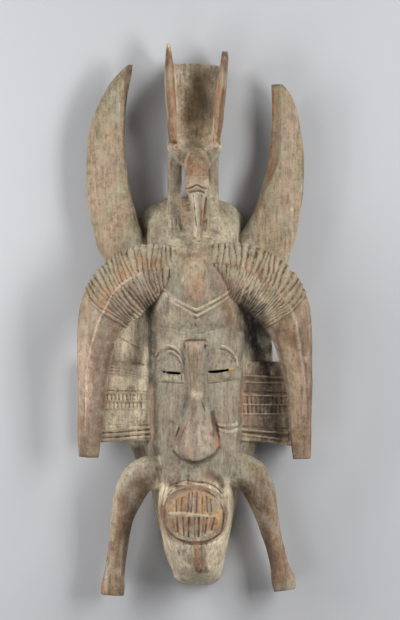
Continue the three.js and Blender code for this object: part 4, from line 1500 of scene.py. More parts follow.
    ("cream", 2.6, 0.7, [(19, -204), (27.5, -213.5), (31, -219.5)]),
    ("red", 2.6, 0.75, [(-41, -223), (-40.5, -237.5)]),
    ("brown", 2.4, 0.6, [(-38.5, -242.5), (-31, -255.5), (-19, -264)]),
    ("dark", 2, 0.6, [(-33.5, -255.5), (-31, -260.5)]),
    ("dark", 1.8, 0.6, [(-7, -265.5), (12, -266.5)]),
    ("brown", 2, 0.5, [(33.5, -234), (30, -252), (19, -264)]),
    ("brown", 26, 0.35, [(-13, -231.5), (11, -231.5)]),
    ("fresh", 3, 0.7, [(-27, -216), (-25, -225.5)]),
    ("orange", 3.6, 0.6, [(-33.5, -218.5), (-31, -230.5)]),
    ("fresh", 4, 0.6, [(25, -225.5), (26.5, -239)]),
    ("lilac", 3, 0.7, [(-8.5, -209), (-7.5, -229)]),
    ("lilac", 2.4, 0.8, [(0.5, -209), (-0.5, -229)]),
    ("fresh", 1.6, 0.5, [(5.5, -211), (5.5, -229)]),
    ("fresh", 1.8, 0.55, [(12.5, -212.5), (12.5, -231.5)]),
    ("cream", 1.4, 0.6, [(-3.5, -212.5), (-3.5, -229)]),
    ("cream", 2, 0.7, [(-31, -231), (-19, -230), (-5, -232), (12, -234), (24, -234)]),
    ("brown", 3, 0.4, [(-9.5, -237.5), (-7.5, -252)]),
    ("rose", 2.2, 0.6, [(16.5, -237.5), (14, -249.5)]),
    ("cream", 5, 0.5, [(-21.5, -257), (0, -260.5), (19, -255.5)]),
    ("grey", 12, 0.45, [(-24, -276), (-19, -300)]),
    ("rose", 6, 0.3, [(24, -273.5), (26.5, -283)]),
    ("olive", 12, 0.45, [(-17, -312), (21.5, -312)]),
    ("lilac", 7, 0.35, [(-96, -117.5), (-67, -120)]),
    ("red", 8, 0.5, [(79, -101), (57.5, -102)]),
    ("brown", 8, 0.5, [(62.5, -134.5), (105.5, -139)]),
    ("tan", 9, 0.5, [(-129.5, 2.5), (-134.5, -30), (-137, -72)]),
    ("pale", 1.3, 0.9, [
        (-65, 56.5), (-75, 51), (-86.5, 44.5), (-99.5, 31), (-108, 14.5), (-116.5, -2.5), (-123.5, -24),
        (-128.5, -48), (-131, -72), (-132, -108), (-132.5, -132)
    ]),
    ("orange", 3.6, 0.55, [(-125, -50.5), (-127, -84), (-129, -129.5)]),
    ("rose", 4, 0.6, [(-123.5, -30), (-126.5, -60), (-128, -96), (-129.5, -129.5)]),
    ("lilac", 7, 0.75, [(-103, 0), (-110.5, -30), (-115, -62.5), (-117.5, -96), (-119, -129.5)]),
    # Painted shade along the inner edge of the left curled horn
    ("dark", 4.4, 0.6, [(-96, -17), (-104.5, -45.5), (-109, -74.5), (-111.5, -102), (-113, -126)]),
    ("brown", 5, 0.5, [(-99.5, -30), (-107, -60)]),
    ("olive", 9, 0.4, [(-134.5, -144), (-120, -151)]),
    ("dark", 1.6, 0.6, [(-140.5, -163.5), (-117.5, -164.5)]),
    ("brown", 4, 0.5, [(-114, -139), (-116.5, -158.5)]),
    ("orange", 1.8, 0.7, [(-111.5, 19), (-103, 8.5), (-97, -3.5), (-90, -15.5)]),
    ("rose", 2.6, 0.95, [
        (113, 14.5), (119, -2.5), (123, -24), (127, -48), (129.5, -74.5), (130.5, -102), (131, -127)
    ]),
    ("tan", 5, 0.6, [(115, -36), (120, -72), (122.5, -120)]),
    ("orange", 5, 0.35, [(101, -17), (115, -48)]),
    ("red", 3, 0.5, [(110.5, -9.5), (120, -43)]),
    ("dark", 2, 0.6, [(95, -14.5), (102, -38.5), (108, -67), (111, -96), (113, -144)]),
    ("brown", 3.4, 0.5, [(103, -57.5), (108, -90), (110.5, -144)]),
    ("brown", 4.6, 0.5, [(129.5, 6), (134.5, -36), (135.5, -96), (135.5, -156)]),
    ("dark", 1.4, 0.6, [(123.5, -12), (129.5, -48), (133.5, -90), (134, -132)]),
    ("dark", 1.3, 0.45, [(138, -12), (138.5, -72), (138.5, -144)]),
    ("fresh", 6, 0.35, [(120, -139), (122.5, -156)]),
    ("dark", 1.6, 0.6, [(115, -166.5), (135.5, -166)]),
    ("dark", 5, 0.5, [(96, -12), (104.5, -14.5)]),
    ("orange", 8, 0.45, [(-93.5, 51.5), (-81.5, 60), (-65, 69.5)]),
    ("orange", 7, 0.5, [(-115, 21.5), (-103, 36)]),
    ("red", 5, 0.4, [(-57.5, 69.5), (-43, 69.5)]),
    ("lilac", 12, 0.6, [(-60, 42), (-77, 24), (-89, 5)]),
    ("dark", 7, 0.3, [(-67, 24), (-55, 24)]),
    ("cream", 8, 0.35, [(62.5, 50.5), (79, 36)]),
    ("green", 7, 0.4, [(-115, 53), (-105.5, 65)]),
    ("tan", 8, 0.4, [(89, 69.5), (113, 48)]),
    ("rose", 3, 0.6, [(57.5, 65), (69.5, 57.5)]),
    ("rose", 4, 0.5, [(91, 38.5), (101, 29)]),
    ("dark", 4, 0.35, [(74.5, 69.5), (79, 50.5)]),
    ("rose", 10, 0.5, [(-117.5, 204), (-125, 144)]),
    ("green", 8, 0.45, [(-101, 270), (-91, 240)]),
    ("olive", 6, 0.5, [(-79, 126), (-69.5, 98.5)]),
    ("green", 9, 0.45, [(-85, 96), (-67, 91)]),
    ("dark", 3.2, 0.75, [(-77.5, 305), (-81.5, 282), (-84, 252), (-85, 216), (-84, 186)]),
    ("red", 1.6, 0.45, [(-82, 264), (-84, 216), (-83, 180)]),
    ("dark", 1.4, 0.6, [(-83, 174), (-78, 144), (-72, 114)]),
    ("dark", 1.4, 0.45, [(-79, 306), (-93.5, 290.5), (-105.5, 273.5)]),
    ("dark", 1.1, 0.7, [(-102.5, 125), (-102, 121)]),
    ("rose", 12, 0.5, [(105.5, 156), (110.5, 120)]),
    ("lilac", 7, 0.45, [(115, 264), (122.5, 228)]),
    ("lilac", 7, 0.4, [(96, 252), (103, 216)]),
    ("orange", 4, 0.6, [(93.5, 276), (92.5, 240)]),
    ("red", 5, 0.5, [(91, 228), (89, 177.5)]),
    ("orange", 4.4, 0.5, [(89, 210), (89, 170.5)]),
    ("green", 6, 0.5, [(74.5, 150), (60, 114)]),
    ("dark", 1.1, 0.8, [(114, 216.5), (114.5, 215.5)]),
    ("cream", 0.9, 1, [(116, 135.5), (116, 132)]),
    ("dark", 2, 0.6, [(92.5, 283), (102, 283), (108, 278.5)]),
    ("dark", 1.3, 0.5, [(128.5, 204), (129.5, 168), (127, 126)]),
    # Painted shade on the inner side of the left leg where it leaves the head
    ("dark", 9, 0.6, [(-60, -194.5), (-69.5, -204), (-75.5, -216)]),
    ("brown", 6, 0.5, [(-78, -222), (-81.5, -252)]),
    ("cream", 7, 0.5, [(-75.5, -176.5), (-63.5, -170.5)]),
    ("grey", 9, 0.5, [(-91, -187), (-77, -177.5)]),
    ("dark", 2.6, 0.5, [(-84, -252), (-86.5, -288), (-87.5, -306)]),
    ("dark", 5, 0.5, [(-93.5, -314.5), (-91, -326.5)]),
    ("olive", 10, 0.5, [(60, -175), (72, -180)]),
    ("dark", 7, 0.5, [(54, -197), (65, -216)]),
    ("dark", 4.6, 0.45, [(74.5, -222), (84, -252)]),
    ("orange", 4, 0.35, [(96, -240), (101, -276)]),
    ("fresh", 1.8, 0.5, [(91, -240), (93.5, -264)]),
    ("brown", 6, 0.4, [(98.5, -300), (108, -321.5)]),
    ("dark", 1.6, 0.6, [(96, -326.5), (108, -324)]),
    ("tan", 5, 0.6, [(84, -31), (89, -48)]),
    ("rose", 8, 0.45, [(9.5, 41), (11, 24)]),
    ("lilac", 6, 0.6, [(14.5, 67), (21.5, 48)]),
    ("grey", 7, 0.5, [(21.5, 57.5), (26.5, 33.5)]),
    ("green", 8, 0.5, [(-26.5, 66), (-24, 43)]),
    ("cream", 4, 0.5, [(-41, 29), (-47, 14.5)]),
    ("cream", 3.4, 0.5, [(38.5, 43), (48, 19)]),
    ("cream", 1.3, 0.65, [(-38.5, 30), (-19, 20.5), (0, 12), (19, 20.5), (38.5, 32.5)]),
    ("cream", 1.3, 0.6, [(-31, 21.5), (-14.5, 12), (0, 5), (17, 13), (33.5, 23)]),
    ("brown", 3, 0.5, [(-21.5, 78), (9.5, 77)]),
    ("olive", 6, 0.6, [(12, 89), (19, 74.5)]),
    ("cream", 7, 0.5, [(0, 92.5), (12, 96), (31, 96)]),
    ("cream", 6, 0.45, [(-29, 91), (-12, 93.5)]),
    ("brown", 6, 0.45, [(35, 17), (38.5, -2.5)]),
    ("chalk", 12, 0.5, [(-29, 2.5), (-19, -12)]),
    ("cream", 1.1, 0.6, [(-43, -37), (-36, -31), (-29, -31), (-19, -38.5), (-15.5, -45.5)]),
    ("cream", 1.1, 0.5, [(-39.5, -43), (-31, -37), (-24, -39.5), (-17, -49)]),
    ("brown", 1.1, 0.6, [(-42, -41), (-33.5, -35), (-25, -36), (-17, -44.5)]),
    ("cream", 1.3, 0.65, [(31, -31), (41, -36), (48, -45.5), (50.5, -55)]),
    ("brown", 1.1, 0.6, [(29, -35), (38.5, -39.5), (45.5, -49)]),
    ("cream", 1.1, 0.5, [(24, -38.5), (33.5, -39.5), (42, -47)]),
    ("dark", 0.9, 0.75, [(-13, -32.5), (-13, -25), (11, -24), (11, -32.5)]),
    ("brown", 0.8, 0.6, [(-9.5, -26.5), (-9.5, -38.5)]),
    ("brown", 0.8, 0.6, [(-2.5, -26.5), (-2.5, -41)]),
    ("brown", 0.8, 0.6, [(5, -26.5), (5, -39.5)]),
    ("cream", 1, 0.45, [(-38.5, 312), (-37, 276), (-33.5, 240)]),
    ("pale", 12, 0.3, [(-21.5, -270), (-24, -306)]),
    ("pale", 9, 0.3, [(19, -288), (24, -312)]),
    # Painted light on the side of the head over the left ear, under the curled horn
    ("cream", 9, 0.85, [(-66, 2.5), (-69.5, -19), (-72, -43)]),
    ("cream", 12, 0.7, [(-84, -24), (-93.5, -45.5)]),
    # Painted shade down the left side of the face
    ("dark", 3.6, 0.8, [(-57.5, 21.5), (-57, -36), (-57.5, -96), (-59, -149)]),
    ("orange", 10, 0.35, [(-3.5, 53), (0, 29)]),
    ("cream", 1.5, 0.8, [(0, 68.5), (-17, 47)]),
    ("grey", 13, 0.45, [(-7, -139), (5, -156)]),
    ("orange", 4, 0.7, [(1, -279.5), (2.5, -290.5)]),
    ("red", 4, 0.95, [(1, -293), (3.5, -301)]),
    ("red", 2.4, 0.9, [(12, -296.5), (13, -302.5)]),
    ("rose", 3, 0.6, [(11, -279.5), (12, -294)]),
    ("dark", 1.1, 0.5, [(-4, -283), (-3.5, -301)]),
    ("brown", 8, 0.6, [(2.5, 288), (8.5, 264)]),
    # Painted light on the dished plate, which the blades shade
    ("pale", 6, 0.5, [(-17, 276), (-18, 228)]),
    ("pale", 6, 0.4, [(17, 240), (13, 210)]),
    ("red", 2.6, 0.6, [(-18, 146.5), (-17, 108)]),
    ("red", 1.4, 0.6, [(-11, 146.5), (-7, 114), (-3.5, 98.5)]),
    ("brown", 1.4, 0.6, [(12, 146.5), (8.5, 117.5), (6, 98.5)]),
    ("orange", 2, 0.5, [(9.5, 138), (7, 117.5)]),
    # Painted shade on the left side of the dome, beside the left broad horn
    ("brown", 5, 0.6, [(-63.5, 125), (-60, 101)]),
    ("red", 1.3, 0.6, [(67, -92.5), (67, -111.5)]),
    ("orange", 1.3, 0.6, [(56.5, -91), (56.5, -125)]),
    ("orange", 2, 0.5, [(53, -132), (79, -133)]),
    ("orange", 2, 0.4, [(79, -145), (108, -147.5)]),
    ("cream", 1.5, 0.7, [(-111.5, -140.5), (-60, -134.5)]),
    # Painted shade on the inner side of the left leg where it leaves the head
    ("brown", 8, 0.7, [(-63.5, -194.5), (-74.5, -204), (-81.5, -216)]),
    ("dark", 3, 0.6, [(-60, -189.5), (-69.5, -197)]),
    ("cream", 4, 0.45, [(-95, -192), (-98.5, -228), (-102, -264)]),
    ("orange", 2.4, 0.55, [(-89, -216), (-93.5, -252), (-97, -288)]),
    ("brown", 2, 0.6, [(-92.5, -240), (-95, -288)]),
    ("cream", 2.4, 0.5, [(-89, -264), (-92.5, -306)]),
    ("cream", 2.4, 0.5, [(-105.5, -294), (-109, -324)]),
    ("olive", 2, 0.6, [(-103, -300), (-104.5, -326.5)]),
    ("orange", 3, 0.5, [(-113, -318), (-110.5, -330)]),
    ("brown", 7, 0.5, [(60, -194.5), (72, -206.5), (80.5, -222)]),
    ("cream", 3, 0.4, [(86.5, -204), (96, -234), (102, -270)]),
    ("orange", 2.4, 0.45, [(89, -228), (97, -270), (104.5, -306)]),
    ("brown", 2.4, 0.5, [(81.5, -240), (91, -276), (101, -318)]),
    ("olive", 7, 0.45, [(-2.5, -41), (0, -79)]),
    ("cream", 1.4, 0.4, [(-8.5, -120), (-12, -150)]),
    # Painted light on the left ear, which lies in the curled horn's shadow
    ("pale", 16, 0.55, [(-96, -62.5), (-99.5, -96), (-98.5, -139)]),
    ("cream", 14, 0.6, [(-74.5, -55), (-77, -96), (-74.5, -139)]),
    # Painted light on the side of the head over the left ear, under the curled horn
    ("cream", 14, 0.7, [(-89, -30), (-74.5, -18)]),
    ("grey", 6, 0.5, [(-77, -121), (-68.5, -119)]),
    ("brown", 1.6, 0.6, [
        (-38.5, -206.5), (-41, -223), (-38.5, -240), (-29, -257), (-12, -265), (5, -266.5),
        (21.5, -261.5), (33.5, -251)
    ]),
    ("red", 1.4, 0.5, [(-33.5, -199), (-19, -194.5), (0, -193), (17, -197), (29, -204)]),
    ("dark", 9, 0.4, [(-43, -295), (-36, -315.5)]),
    # Painted shade on the right ear, between the face and the right curled horn
    ("dark", 15, 0.75, [(65, 17), (71, -6), (77, -30), (78, -96), (78, -141.5)]),
    ("black", 14, 0.95, [(65, 12), (72, -7), (81.5, -26.5)]),
    ("black", 8, 0.9, [(60, 5), (61, -30)]),
    ("black", 9, 0.8, [(79, -30), (83, -72), (81.5, -141.5)]),
    # Painted light on the side of the head over the left ear, under the curled horn
    ("cream", 12, 0.8, [(-91, -33.5), (-77, -21.5), (-67, -5)]),
    # Painted shade down the left side of the face
    ("black", 4, 0.7, [(-56.5, 17), (-56, -30), (-56.5, -72)]),
    # Painted shade along the inner edge of the left curled horn
    ("brown", 5, 0.7, [(-95, -14.5), (-104.5, -38.5), (-110.5, -72), (-114, -114), (-115, -144)]),
    ("dark", 2.4, 0.6, [(-99.5, -30), (-107, -57.5), (-110.5, -96), (-113, -141.5)]),
    ("cream", 1.4, 0.7, [(-39.5, 33.5), (-21.5, 23), (0, 13), (19, 21.5), (39.5, 33.5)]),
    ("cream", 1.4, 0.6, [(-31, 24), (-14.5, 13), (0, 6), (17, 14.5), (36, 25)]),
    # Painted light on the dished plate, which the blades shade
    ("pale", 9, 0.6, [(-14.5, 282), (-15.5, 246), (-15.5, 216)]),
    ("pale", 8, 0.6, [(17, 294), (17, 276)]),
    ("cream", 8, 0.6, [(14.5, 240), (12, 206.5)]),
    # Painted light on the left ear, which lies in the curled horn's shadow
    ("bone", 11, 0.7, [(-68.5, -9.5), (-81.5, -36), (-89, -62.5)]),
    ("bone", 13, 0.7, [(-90, -66), (-92.5, -96), (-95, -134.5)]),
    ("bone", 8, 0.6, [(-72, -38.5), (-74.5, -96), (-74.5, -137)]),
    # Painted shade on the right ear, between the face and the right curled horn
    ("brown", 8, 0.5, [(60, -72), (63.5, -139)]),
    ("brown", 7, 0.6, [(97, -57.5), (101, -139)]),
    ("dark", 3, 0.5, [(86.5, -30), (98.5, -66), (107, -108), (115, -156)]),
    # Painted shade along the inner edge of the left curled horn
    ("brown", 4, 0.5, [(-101, -48), (-109, -90), (-114, -156)]),
    ("brown", 9, 0.45, [(73, -182.5), (86.5, -216), (97, -264), (107, -309.5)]),
    ("brown", 6, 0.45, [(-69.5, -194.5), (-84, -219.5), (-89, -252), (-91, -294)]),
    ("dark", 1.8, 0.75, [(-27.5, -156), (-19, -165), (-1, -169), (17, -163), (27.5, -152.5)]),
    ("dark", 1.4, 0.6, [(-13, -128.5), (-26.5, -152.5)]),
    ("red", 1.8, 0.6, [
        (36.5, -233), (33, -247.5), (22.5, -259), (7, -265.5), (-9.5, -265.5), (-25, -259),
        (-35.5, -247.5), (-39, -233), (-35.5, -218), (-25, -206.5), (-9.5, -200), (7, -200),
        (22.5, -206.5), (33, -218), (36.5, -233)
    ]),
    ("cream", 12, 0.5, [(-55, 125), (-29, 113), (-29, 98.5)]),
    ("cream", 10, 0.4, [(21.5, 117.5), (43, 108)]),
    # Painted light on the dished plate, which the blades shade
    ("bone", 6, 0.6, [(-12, 294), (-14.5, 258), (-14.5, 218.5)]),
    ("cream", 4, 0.5, [(-12, 204), (-18, 174)]),
    ("dark", 5, 0.35, [(13, 297.5), (12, 257)]),
    # Painted shade on the right ear, between the face and the right curled horn
    ("black", 10, 0.6, [(72, -6), (78, -30), (83, -72), (86.5, -141.5)]),
    ("dark", 9, 0.5, [(95, -55), (98.5, -96), (99.5, -140.5)]),
    ("brown", 12, 0.6, [(-131, -126), (-129.5, -164.5)]),
    ("dark", 4, 0.4, [(-137, -151), (-134.5, -164.5)]),
    ("brown", 12, 0.6, [(127, -126), (128.5, -164.5)]),
    ("dark", 4, 0.4, [(120, -151), (122.5, -164.5)]),
    ("pale", 9, 0.3, [(-133, -30), (-134.5, -96)]),
    ("orange", 5, 0.5, [(0, -266.5), (2.5, -290.5)]),
    ("cream", 8, 0.4, [(-86.5, -183.5), (-96, -204)]),
    ("brown", 14, 0.4, [(36, 38.5), (45.5, -12)]),
    ("orange", 2.6, 0.4, [(-32.5, 300), (-29, 252), (-23, 206.5)]),
    ("orange", 2.6, 0.4, [(31, 294), (25, 252), (20.5, 210)]),
    ("brown", 8, 0.4, [(0, 194.5), (1, 173)]),
    ("red", 3, 0.5, [(92.5, 273.5), (90, 228), (81.5, 182.5)]),
    # Painted light on the dished plate, which the blades shade
    ("bone", 13, 0.85, [(-7, 230.5), (8.5, 223)]),
    ("tan", 8, 0.4, [(-7, 264), (-11, 242.5)]),
    # Painted light on the left ear, which lies in the curled horn's shadow
    ("bone", 12, 0.7, [(-81.5, -38.5), (-86.5, -62.5), (-89, -78)]),
    ("bone", 8, 0.6, [(-65, -30), (-67, -78)]),
    ("brown", 2.2, 0.6, [(53, -90), (53, -108)]),
    ("orange", 2, 0.5, [(56.5, -91), (56.5, -105.5)]),
    ("orange", 2, 0.5, [(67, -92.5), (74.5, -92.5)]),
    ("orange", 1.6, 0.5, [(56.5, -107), (79, -105.5)]),
    ("orange", 1.6, 0.4, [(-91, -81.5), (-67, -80.5)]),
    ("tan", 1.6, 0.5, [(-105.5, -101), (-65, -98.5)]),
    # Painted shade on the right ear, between the face and the right curled horn
    ("brown", 15, 0.45, [(66, -57.5), (72, -134.5)]),
    ("red", 7, 0.3, [(61, -77), (62.5, -114)]),
    # Painted shade on the right ear, between the face and the right curled horn
    ("dark", 6, 0.4, [(80.5, -36), (86.5, -96), (91, -140.5)]),
    ("chalk", 3, 0.6, [(-39.5, -69.5), (-19, -69.5)]),
    ("brown", 3, 0.45, [(14.5, -69.5), (45.5, -68.5)]),
    ("chalk", 4, 0.5, [(-8.5, -29), (6, -29)]),
    ("dark", 1.3, 0.6, [(-12, -24.5), (9.5, -24)]),
    ("brown", 1.6, 0.5, [(-2.5, -36), (-1, -62.5), (0, -84)]),
    # Painted light on the left ear, which lies in the curled horn's shadow
    ("bone", 10, 0.6, [(-93.5, -90), (-95, -134.5)]),
    # Painted shade on the right ear, between the face and the right curled horn
    ("dark", 6, 0.45, [(65, -67), (66, -86.5)]),
    ("dark", 8, 0.45, [(78, -54), (84, -96), (86.5, -139)]),
    # Lightens the lower end of the painted shade down the left side of the face
    ("tan", 4, 0.6, [(-55, -81.5), (-54, -141.5)]),
]
# Strokes with a smaller half width than this have less ragged edges
RAGGED_FROM = 5.2
# Where parts lie on the front: y from and to and how soft its ends are, then the same for x
PLACES = {
    "dome": (82, 152, 4, -78, 70, 3),
    "left_strut": (110, 204, 4, -37, -15, 1.5),
    "right_strut": (110, 204, 4, 13, 31, 1.5),
    "neck": (150, 206, 5, -17, 18, 1),
    "beak": (88, 152, 3, -14, 16, 1.5),
    "nose": (-171, -22, 1, -30, 31, 1),
    "tongue": (-303, -254, 1, -5, 14, 0.6),
}


def part_weights(surface):
    """How much each point belongs to each named part of the carving."""
    x, y, z = surface.at.T

    def seen_in(name):
        y_low, y_high, y_soft, x_low, x_high, x_soft = PLACES[name]
        return within(y, y_low, y_high, y_soft) * within(x, x_low, x_high, x_soft)

    weights = {"muzzle": smooth_step(-186, -200, y)}
    horns = np.zeros(len(x))
    for rows in BROAD.values():
        outer, inner = Course(rows)(y).T[:2]
        low, high = np.minimum(outer, inner), np.maximum(outer, inner)
        horns += within(x, low - 4, high + 2, 1.5) * smooth_step(66, 76, y) * smooth_step(48, 44, z)
    weights["dome"] = seen_in("dome")
    weights["broad_horn"] = horns
    curled, ribs = np.zeros(len(x)), np.zeros(len(x))
    for side, rows in CURLED.items():
        line = along_line(rows)(np.linspace(0, 1, 60))
        far = np.full(len(x), np.inf)
        for (x1, y1, _, half, _), (x2, y2, _, _, _) in zip(line, line[1:]):
            far = np.minimum(far, beside(x, y, [(x1, y1), (x2, y2)]) - half)
        over = smooth_step(1.5, -0.5, far) * smooth_step(34, 42, z)
        curled += over
        end = RIB_END[side]
        ribs += over * smooth_step(-3, 3, (y - end[1]) * 0.66 + (np.abs(x) - end[0]) * end[2])
    weights["curled_horn"] = curled
    weights["ribs"] = ribs * smooth_step(-30, -20, y)
    weights["plate"] = smooth_step(196, 212, y) * within(x, -40, 42, 2)
    wings = within(x, -42, -21, 1) + within(x, 17, 42, 1)
    wings = wings * smooth_step(210, 214, y) * smooth_step(24, 32, z)
    weights["wing"] = wings
    weights["blade"] = wings * smooth_step(0, 0.3, surface.normal[:, 2]) * smooth_step(30, 38, z)
    weights["strut"] = (seen_in("left_strut") + seen_in("right_strut")) * smooth_step(58, 52, z)
    weights["neck"] = seen_in("neck") * smooth_step(30, 38, z)
    weights["beak"] = seen_in("beak") * smooth_step(66, 72, z)
    legs = smooth_step(-176, -190, y) * (smooth_step(-50, -58, x) + smooth_step(48, 56, x))
    weights["leg"] = legs
    weights["knee"] = legs * smooth_step(-214, -190, y) * smooth_step(30, 44, z)
    weights["ear"] = within(y, -152, -44, 3) * smooth_step(54, 57, np.abs(x)) * smooth_step(53, 48, z)
    weights["nose"] = seen_in("nose") * smooth_step(4, 7, z - face_height(x, y))
    (x_middle, y_middle), (wide, high) = MOUTH["middle"], MOUTH["half"]
    far = np.hypot((x - x_middle) / wide, (y - y_middle) / high)
    weights["ring"] = smooth_step(1.05, 1, far) * smooth_step(84, 89, z)
    weights["teeth"] = smooth_step(0.86, 0.82, far) * smooth_step(84, 90, z)
    weights["tongue"] = seen_in("tongue") * smooth_step(0.8, 1.8, z - muzzle_height(y))
    weights["back"] = smooth_step(0.1, -0.5, surface.normal[:, 2]) * smooth_step(40, 20, z)
    weights["inside"] = inside_of_hollow(x, y, z)
    return weights


def inside_of_hollow(x, y, z):
    left, right, height = np.moveaxis(hollow_at(y), -1, 0)
    wide = np.where(x < 0, left, right)
    over = (x / wide) ** 2 + (np.maximum(z, 0) / height) ** 2.35
    return smooth_step(1.16, 1.04, over) * smooth_step(1, 4, z) * within(y, HOLLOW[0][0], HOLLOW[-1][0], 2)


def paint(surface):
    """The tone of every point, from the part it lies on and the strokes over it, and how polished it is.
    Some coats and strokes are painted light and painted shade.
    """
    at = surface.at
    x, y, _ = at.T
    mottle = 0.5 + 0.6 * wander(at, (13, 22, 13), 21) + 0.4 * wander(at, (4, 7, 4), 22)
    mottle = np.clip(mottle, 0, 1)[:, None]
    tone, polish = 0, 0
    for name, (first, second, shine) in COATS.items():
        own = np.array(TONES[first]) * (1 - mottle) + np.array(TONES[second]) * mottle
        weight = 1 if name == "face" else np.clip(surface.weights[name], 0, 1)[:, None]
        tone = tone + (own - tone) * weight
        polish = polish + (shine - polish) * weight
    front = smooth_step(-0.2, 0.15, surface.normal[:, 2])
    ragged = 0.3 * wander(at, (5, 9, 5), 31) + 0.25 * wander(at, (2.2, 3.6, 2.2), 32)
    for name, width, strength, points in STROKES:
        xs, ys = zip(*points)
        reach = width * 1.8
        near = (x > min(xs) - reach) & (x < max(xs) + reach) & (y > min(ys) - reach) & (y < max(ys) + reach)
        near = np.nonzero(near & (front > 0))[0]
        away = beside(x[near], y[near], points) / width + ragged[near] * min(1, width / RAGGED_FROM)
        weight = strength * smooth_step(1.3, 0.5, away) * front[near]
        tone[near] += (np.array(TONES[name]) - tone[near]) * weight[:, None]
    return tone, polish[:, 0]


def weather(surface):
    """How dark the cuts and hollows are painted, as dirt and as painted shade, and how worn what stands out
    of the surface.
    """
    groove = np.clip(-surface.marks / 2.2, 0, 1) + np.clip((-surface.fine - 0.12) / 0.8, 0, 1)
    # The plate and the dome are spared part of the darkening
    spared_dirt_and_shade = np.clip(surface.weights["plate"] + 0.6 * surface.weights["dome"], 0, 0.85)
    # Broad hollows are darkened as painted shade
    deep = np.clip((-surface.broad - 0.25) / 1.3, 0, 1) * (1 - spared_dirt_and_shade)
    ridge = np.clip(surface.marks / 1.6, 0, 1) + np.clip((surface.fine - 0.1) / 0.4, 0, 1)
    edge = np.clip((surface.broad - 0.3) / 1.3, 0, 1)
    # The darkening of cuts and hollows: dirt and painted shade
    grime_and_shade = np.clip(0.8 * groove + 0.45 * deep, 0, 1)
    kept_dark = np.clip(0.75 * surface.weights["blade"] + 0.4 * surface.weights["leg"], 0, 0.8)
    worn = np.clip(0.6 * ridge + 0.3 * edge, 0, 1) * (1 - grime_and_shade) * (1 - kept_dark)
    return grime_and_shade, worn


def keep(mesh, name, values):
    """Stores one value a point on the mesh."""
    layer = mesh.attributes.new(name, "FLOAT", "POINT")
    layer.data.foreach_set("value", values.astype(np.float32))


def kept(mesh, name):
    values = np.empty(len(mesh.vertices), np.float32)
    mesh.attributes[name].data.foreach_get("value", values)
    return values


class Term:
    """A value in a material: sums on it become Math nodes."""

    def __init__(self, finish, socket):
        self.finish, self.socket = finish, socket

    def __add__(self, other):
        return self.finish.maths("ADD", self, other)

    def __mul__(self, other):
        return self.finish.maths("MULTIPLY", self, other)

    def __sub__(self, other):
        return self.finish.maths("SUBTRACT", self, other)

    def __rsub__(self, other):
        return self.finish.maths("SUBTRACT", other, self)

    __radd__, __rmul__ = __add__, __mul__


class Finish:
    """A material and the nodes that make it."""

    def __init__(self, name):
        self.material = bpy.data.materials.new(name)
        self.material.use_nodes = True
        self.tree = self.material.node_tree
        self.shader = self.tree.nodes["Principled BSDF"]

    def fill(self, socket, value):
        if isinstance(value, Term):
            self.tree.links.new(value.socket, socket)
        else:
            socket.default_value = value

    def node(self, kind, settings, sockets, out=0):
        made = self.tree.nodes.new(kind)
        for name, value in settings.items():
            setattr(made, name, value)
        for name, value in sockets.items():
            self.fill(made.inputs[name], value)
        return Term(self, made.outputs[out])

    def maths(self, operation, first, second):
        return self.node("ShaderNodeMath", {"operation": operation}, {0: first, 1: second})

    def between(self, value, low, high):
        """0 below low, 1 over high and smooth between them."""
        ends = {"Value": value, "From Min": low, "From Max": high}
        return self.node("ShaderNodeMapRange", {"interpolation_type": "SMOOTHSTEP"}, ends)

    def mix(self, amount, first, second, how="MIX"):
        settings = {"data_type": "RGBA", "blend_type": how}
        first, second = (one if isinstance(one, Term) else (*one, 1) for one in (first, second))
        return self.node("ShaderNodeMix", settings, {0: amount, 6: first, 7: second}, out=2)

    def layer(self, name, out="Fac"):
        return self.node("ShaderNodeAttribute", {"attribute_name": name}, {}, out=out)

    def luck(self, number):
        """A number from 0 to 1 for each whole number."""
        return self.node("ShaderNodeTexWhiteNoise", {"noise_dimensions": "1D"}, {"W": number})

    def stretched(self, scale):
        place = self.node("ShaderNodeTexCoord", {}, {}, out="Object")
        return self.node("ShaderNodeMapping", {}, {"Vector": place, "Scale": scale})

    def noise(self, place, scale, detail=3.0, roughness=0.6):
        sockets = {"Vector": place, "Scale": scale, "Detail": detail, "Roughness": roughness}
        return self.node("ShaderNodeTexNoise", {}, sockets, out="Fac")


# The dark brown of dirt and painted shade in the cuts, hollows and rib gaps, and the worn wood where it is
# dusty and where it is polished
DIRT_AND_SHADE = (0.075, 0.043, 0.021)
WEAR = (0.45, 0.36, 0.245)
RUBBED = (0.33, 0.19, 0.105)


def rib_pattern(wood, bend):
    """The ribs: where they are, 0 between two to 1 on a rib's back, and the luck of each rib and gap."""
    outer = wood.between(wood.layer("rib_side"), -0.4, 0.4)
    count = wood.layer("rib_outer") * outer + wood.layer("rib_inner") * (1 - outer) + bend
    wave = wood.maths("ABSOLUTE", wood.maths("SINE", count * np.pi, 0), 0)
    rib = wood.luck(wood.maths("FLOOR", count, 0))
    gap = wood.luck(wood.maths("FLOOR", count + 0.5, 0))
    return wood.layer("ribbed"), wave, rib, gap


